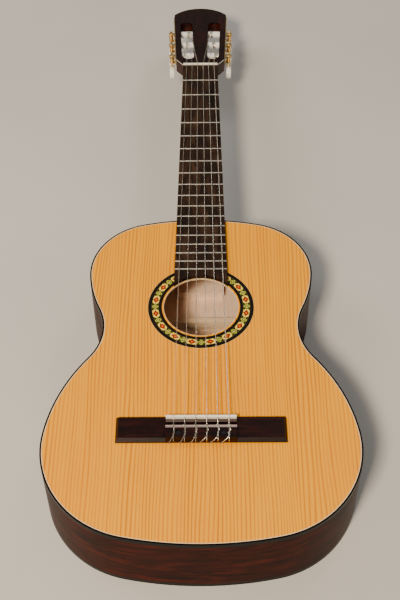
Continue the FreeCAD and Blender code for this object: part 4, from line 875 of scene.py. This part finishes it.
class GUITAR_PT_panel(bpy.types.Panel):
    """Lists the steps in order"""

    bl_idname = "GUITAR_PT_panel"
    bl_label = "Guitar"
    bl_space_type = "VIEW_3D"
    bl_region_type = "UI"
    bl_category = "Guitar"

    def draw(self, context):
        look = look_of(context)
        for name in ("top_colour", "mahogany_colour", "button_colour", "ring_spacing", "rosette_repeats",
                     "purfling_width", "winding_pitch", "roller_turns"):
            self.layout.prop(look, name)
        for step in STEPS:
            self.layout.operator(step.bl_idname)


# ---------------------------------------------------------------- stage
FLOOR_BEND_Y = 3.0
# Name, place, what it looks at, side, watts and colour.
LIGHTS = (
    ("key", (-0.8, -2.15, 2.35), (0.0, 0.0, 0.1), 0.5, 124.0, "FFEBCF"),
    ("side", (-1.9, 0.7, 1.7), (0.0, 0.1, 0.0), 1.1, 18.0, "FFF8F0"),
    ("rim", (1.2, 1.6, 1.9), (0.0, 0.1, 0.0), 0.8, 10.0, "FFFFFF"),
)


def make_floor():
    """A wide pale floor, softly mottled: flat, and past the bend as high as a quarter of the
    squared distance from it."""
    x, y = np.meshgrid(np.linspace(-4.0, 4.0, 33), np.linspace(-3.0, 6.0, 46), indexing="ij")
    curl = np.maximum(y - FLOOR_BEND_Y, 0.0) ** 2 / 4
    floor = surface("floor", np.stack([x, y, curl - 0.2 * MM], axis=-1)[::-1])
    material, tree, shader, place = new_material("painted floor, matt", Roughness=0.8)
    mottle = add_node(tree, "TexNoise", {"Vector": place, "Scale": 1 / (300 * MM), "Detail": 3.0})
    dress(tree, shader, add_node(tree, "ValToRGB", {"Fac": mottle}, stops=((0.3, "C9C7C3"), (0.8, "D2D0CC"))))
    floor.data.materials.append(material)


def add_light(name, position, target, size, watts, colour):
    """A square soft box that looks at a point."""
    light = bpy.data.lights.new(name, "AREA")
    light.energy = watts
    light.size = size
    light.color = srgb(colour)[:3]
    lamp = bpy.data.objects.new(name, light)
    bpy.context.scene.collection.objects.link(lamp)
    lamp.location = position
    aim = Vector(target) - Vector(position)
    lamp.rotation_euler = aim.to_track_quat("-Z", "Y").to_euler()


def make_lights(context):
    """Key from in front and a little to the left, a wide side light and a weak one from behind."""
    for name, position, target, size, watts, colour in LIGHTS:
        add_light(name, position, target, size, watts, colour)
    world = bpy.data.worlds.new("studio")
    world.use_nodes = True
    background = world.node_tree.nodes["Background"]
    background.inputs["Color"].default_value = srgb("ECE6DC")
    background.inputs["Strength"].default_value = 0.3
    context.scene.world = world


def make_camera(context, look):
    """The camera looks down along the guitar from its tail."""
    data = bpy.data.cameras.new("camera")
    data.lens = look.camera_lens
    data.sensor_width = 36.0
    data.clip_end = 50.0
    camera = bpy.data.objects.new("camera", data)
    context.scene.collection.objects.link(camera)
    pitch, yaw, roll = [math.radians(v) for v in (look.camera_pitch, look.camera_yaw, look.camera_roll)]
    ahead = np.array((math.sin(yaw) * math.cos(pitch), math.cos(yaw) * math.cos(pitch), -math.sin(pitch)))
    right = np.array((math.cos(yaw), -math.sin(yaw), 0.0))
    up = np.cross(right, ahead)
    turned_right = right * math.cos(roll) + up * math.sin(roll)
    turned_up = up * math.cos(roll) - right * math.sin(roll)
    matrix = np.eye(4)
    matrix[:3, 0] = turned_right
    matrix[:3, 1] = turned_up
    matrix[:3, 2] = -ahead
    matrix[:3, 3] = look.camera_place
    camera.matrix_world = Matrix(matrix.tolist())
    context.scene.camera = camera


STEPS = (GUITAR_OT_stage, GUITAR_OT_box, GUITAR_OT_neck, GUITAR_OT_bridge, GUITAR_OT_machines,
         GUITAR_OT_strings)
CLASSES = (GuitarLook, *STEPS, GUITAR_PT_panel)


def register():
    for item in CLASSES:
        bpy.utils.register_class(item)
    bpy.types.Scene.guitar_look = PointerProperty(type=GuitarLook)


def unregister():
    del bpy.types.Scene.guitar_look
    for item in reversed(CLASSES):
        bpy.utils.unregister_class(item)


def main():
    register()
    for step in STEPS:
        group, name = step.bl_idname.split(".")
        getattr(getattr(bpy.ops, group), name)()


if __name__ == "__main__":
    main()
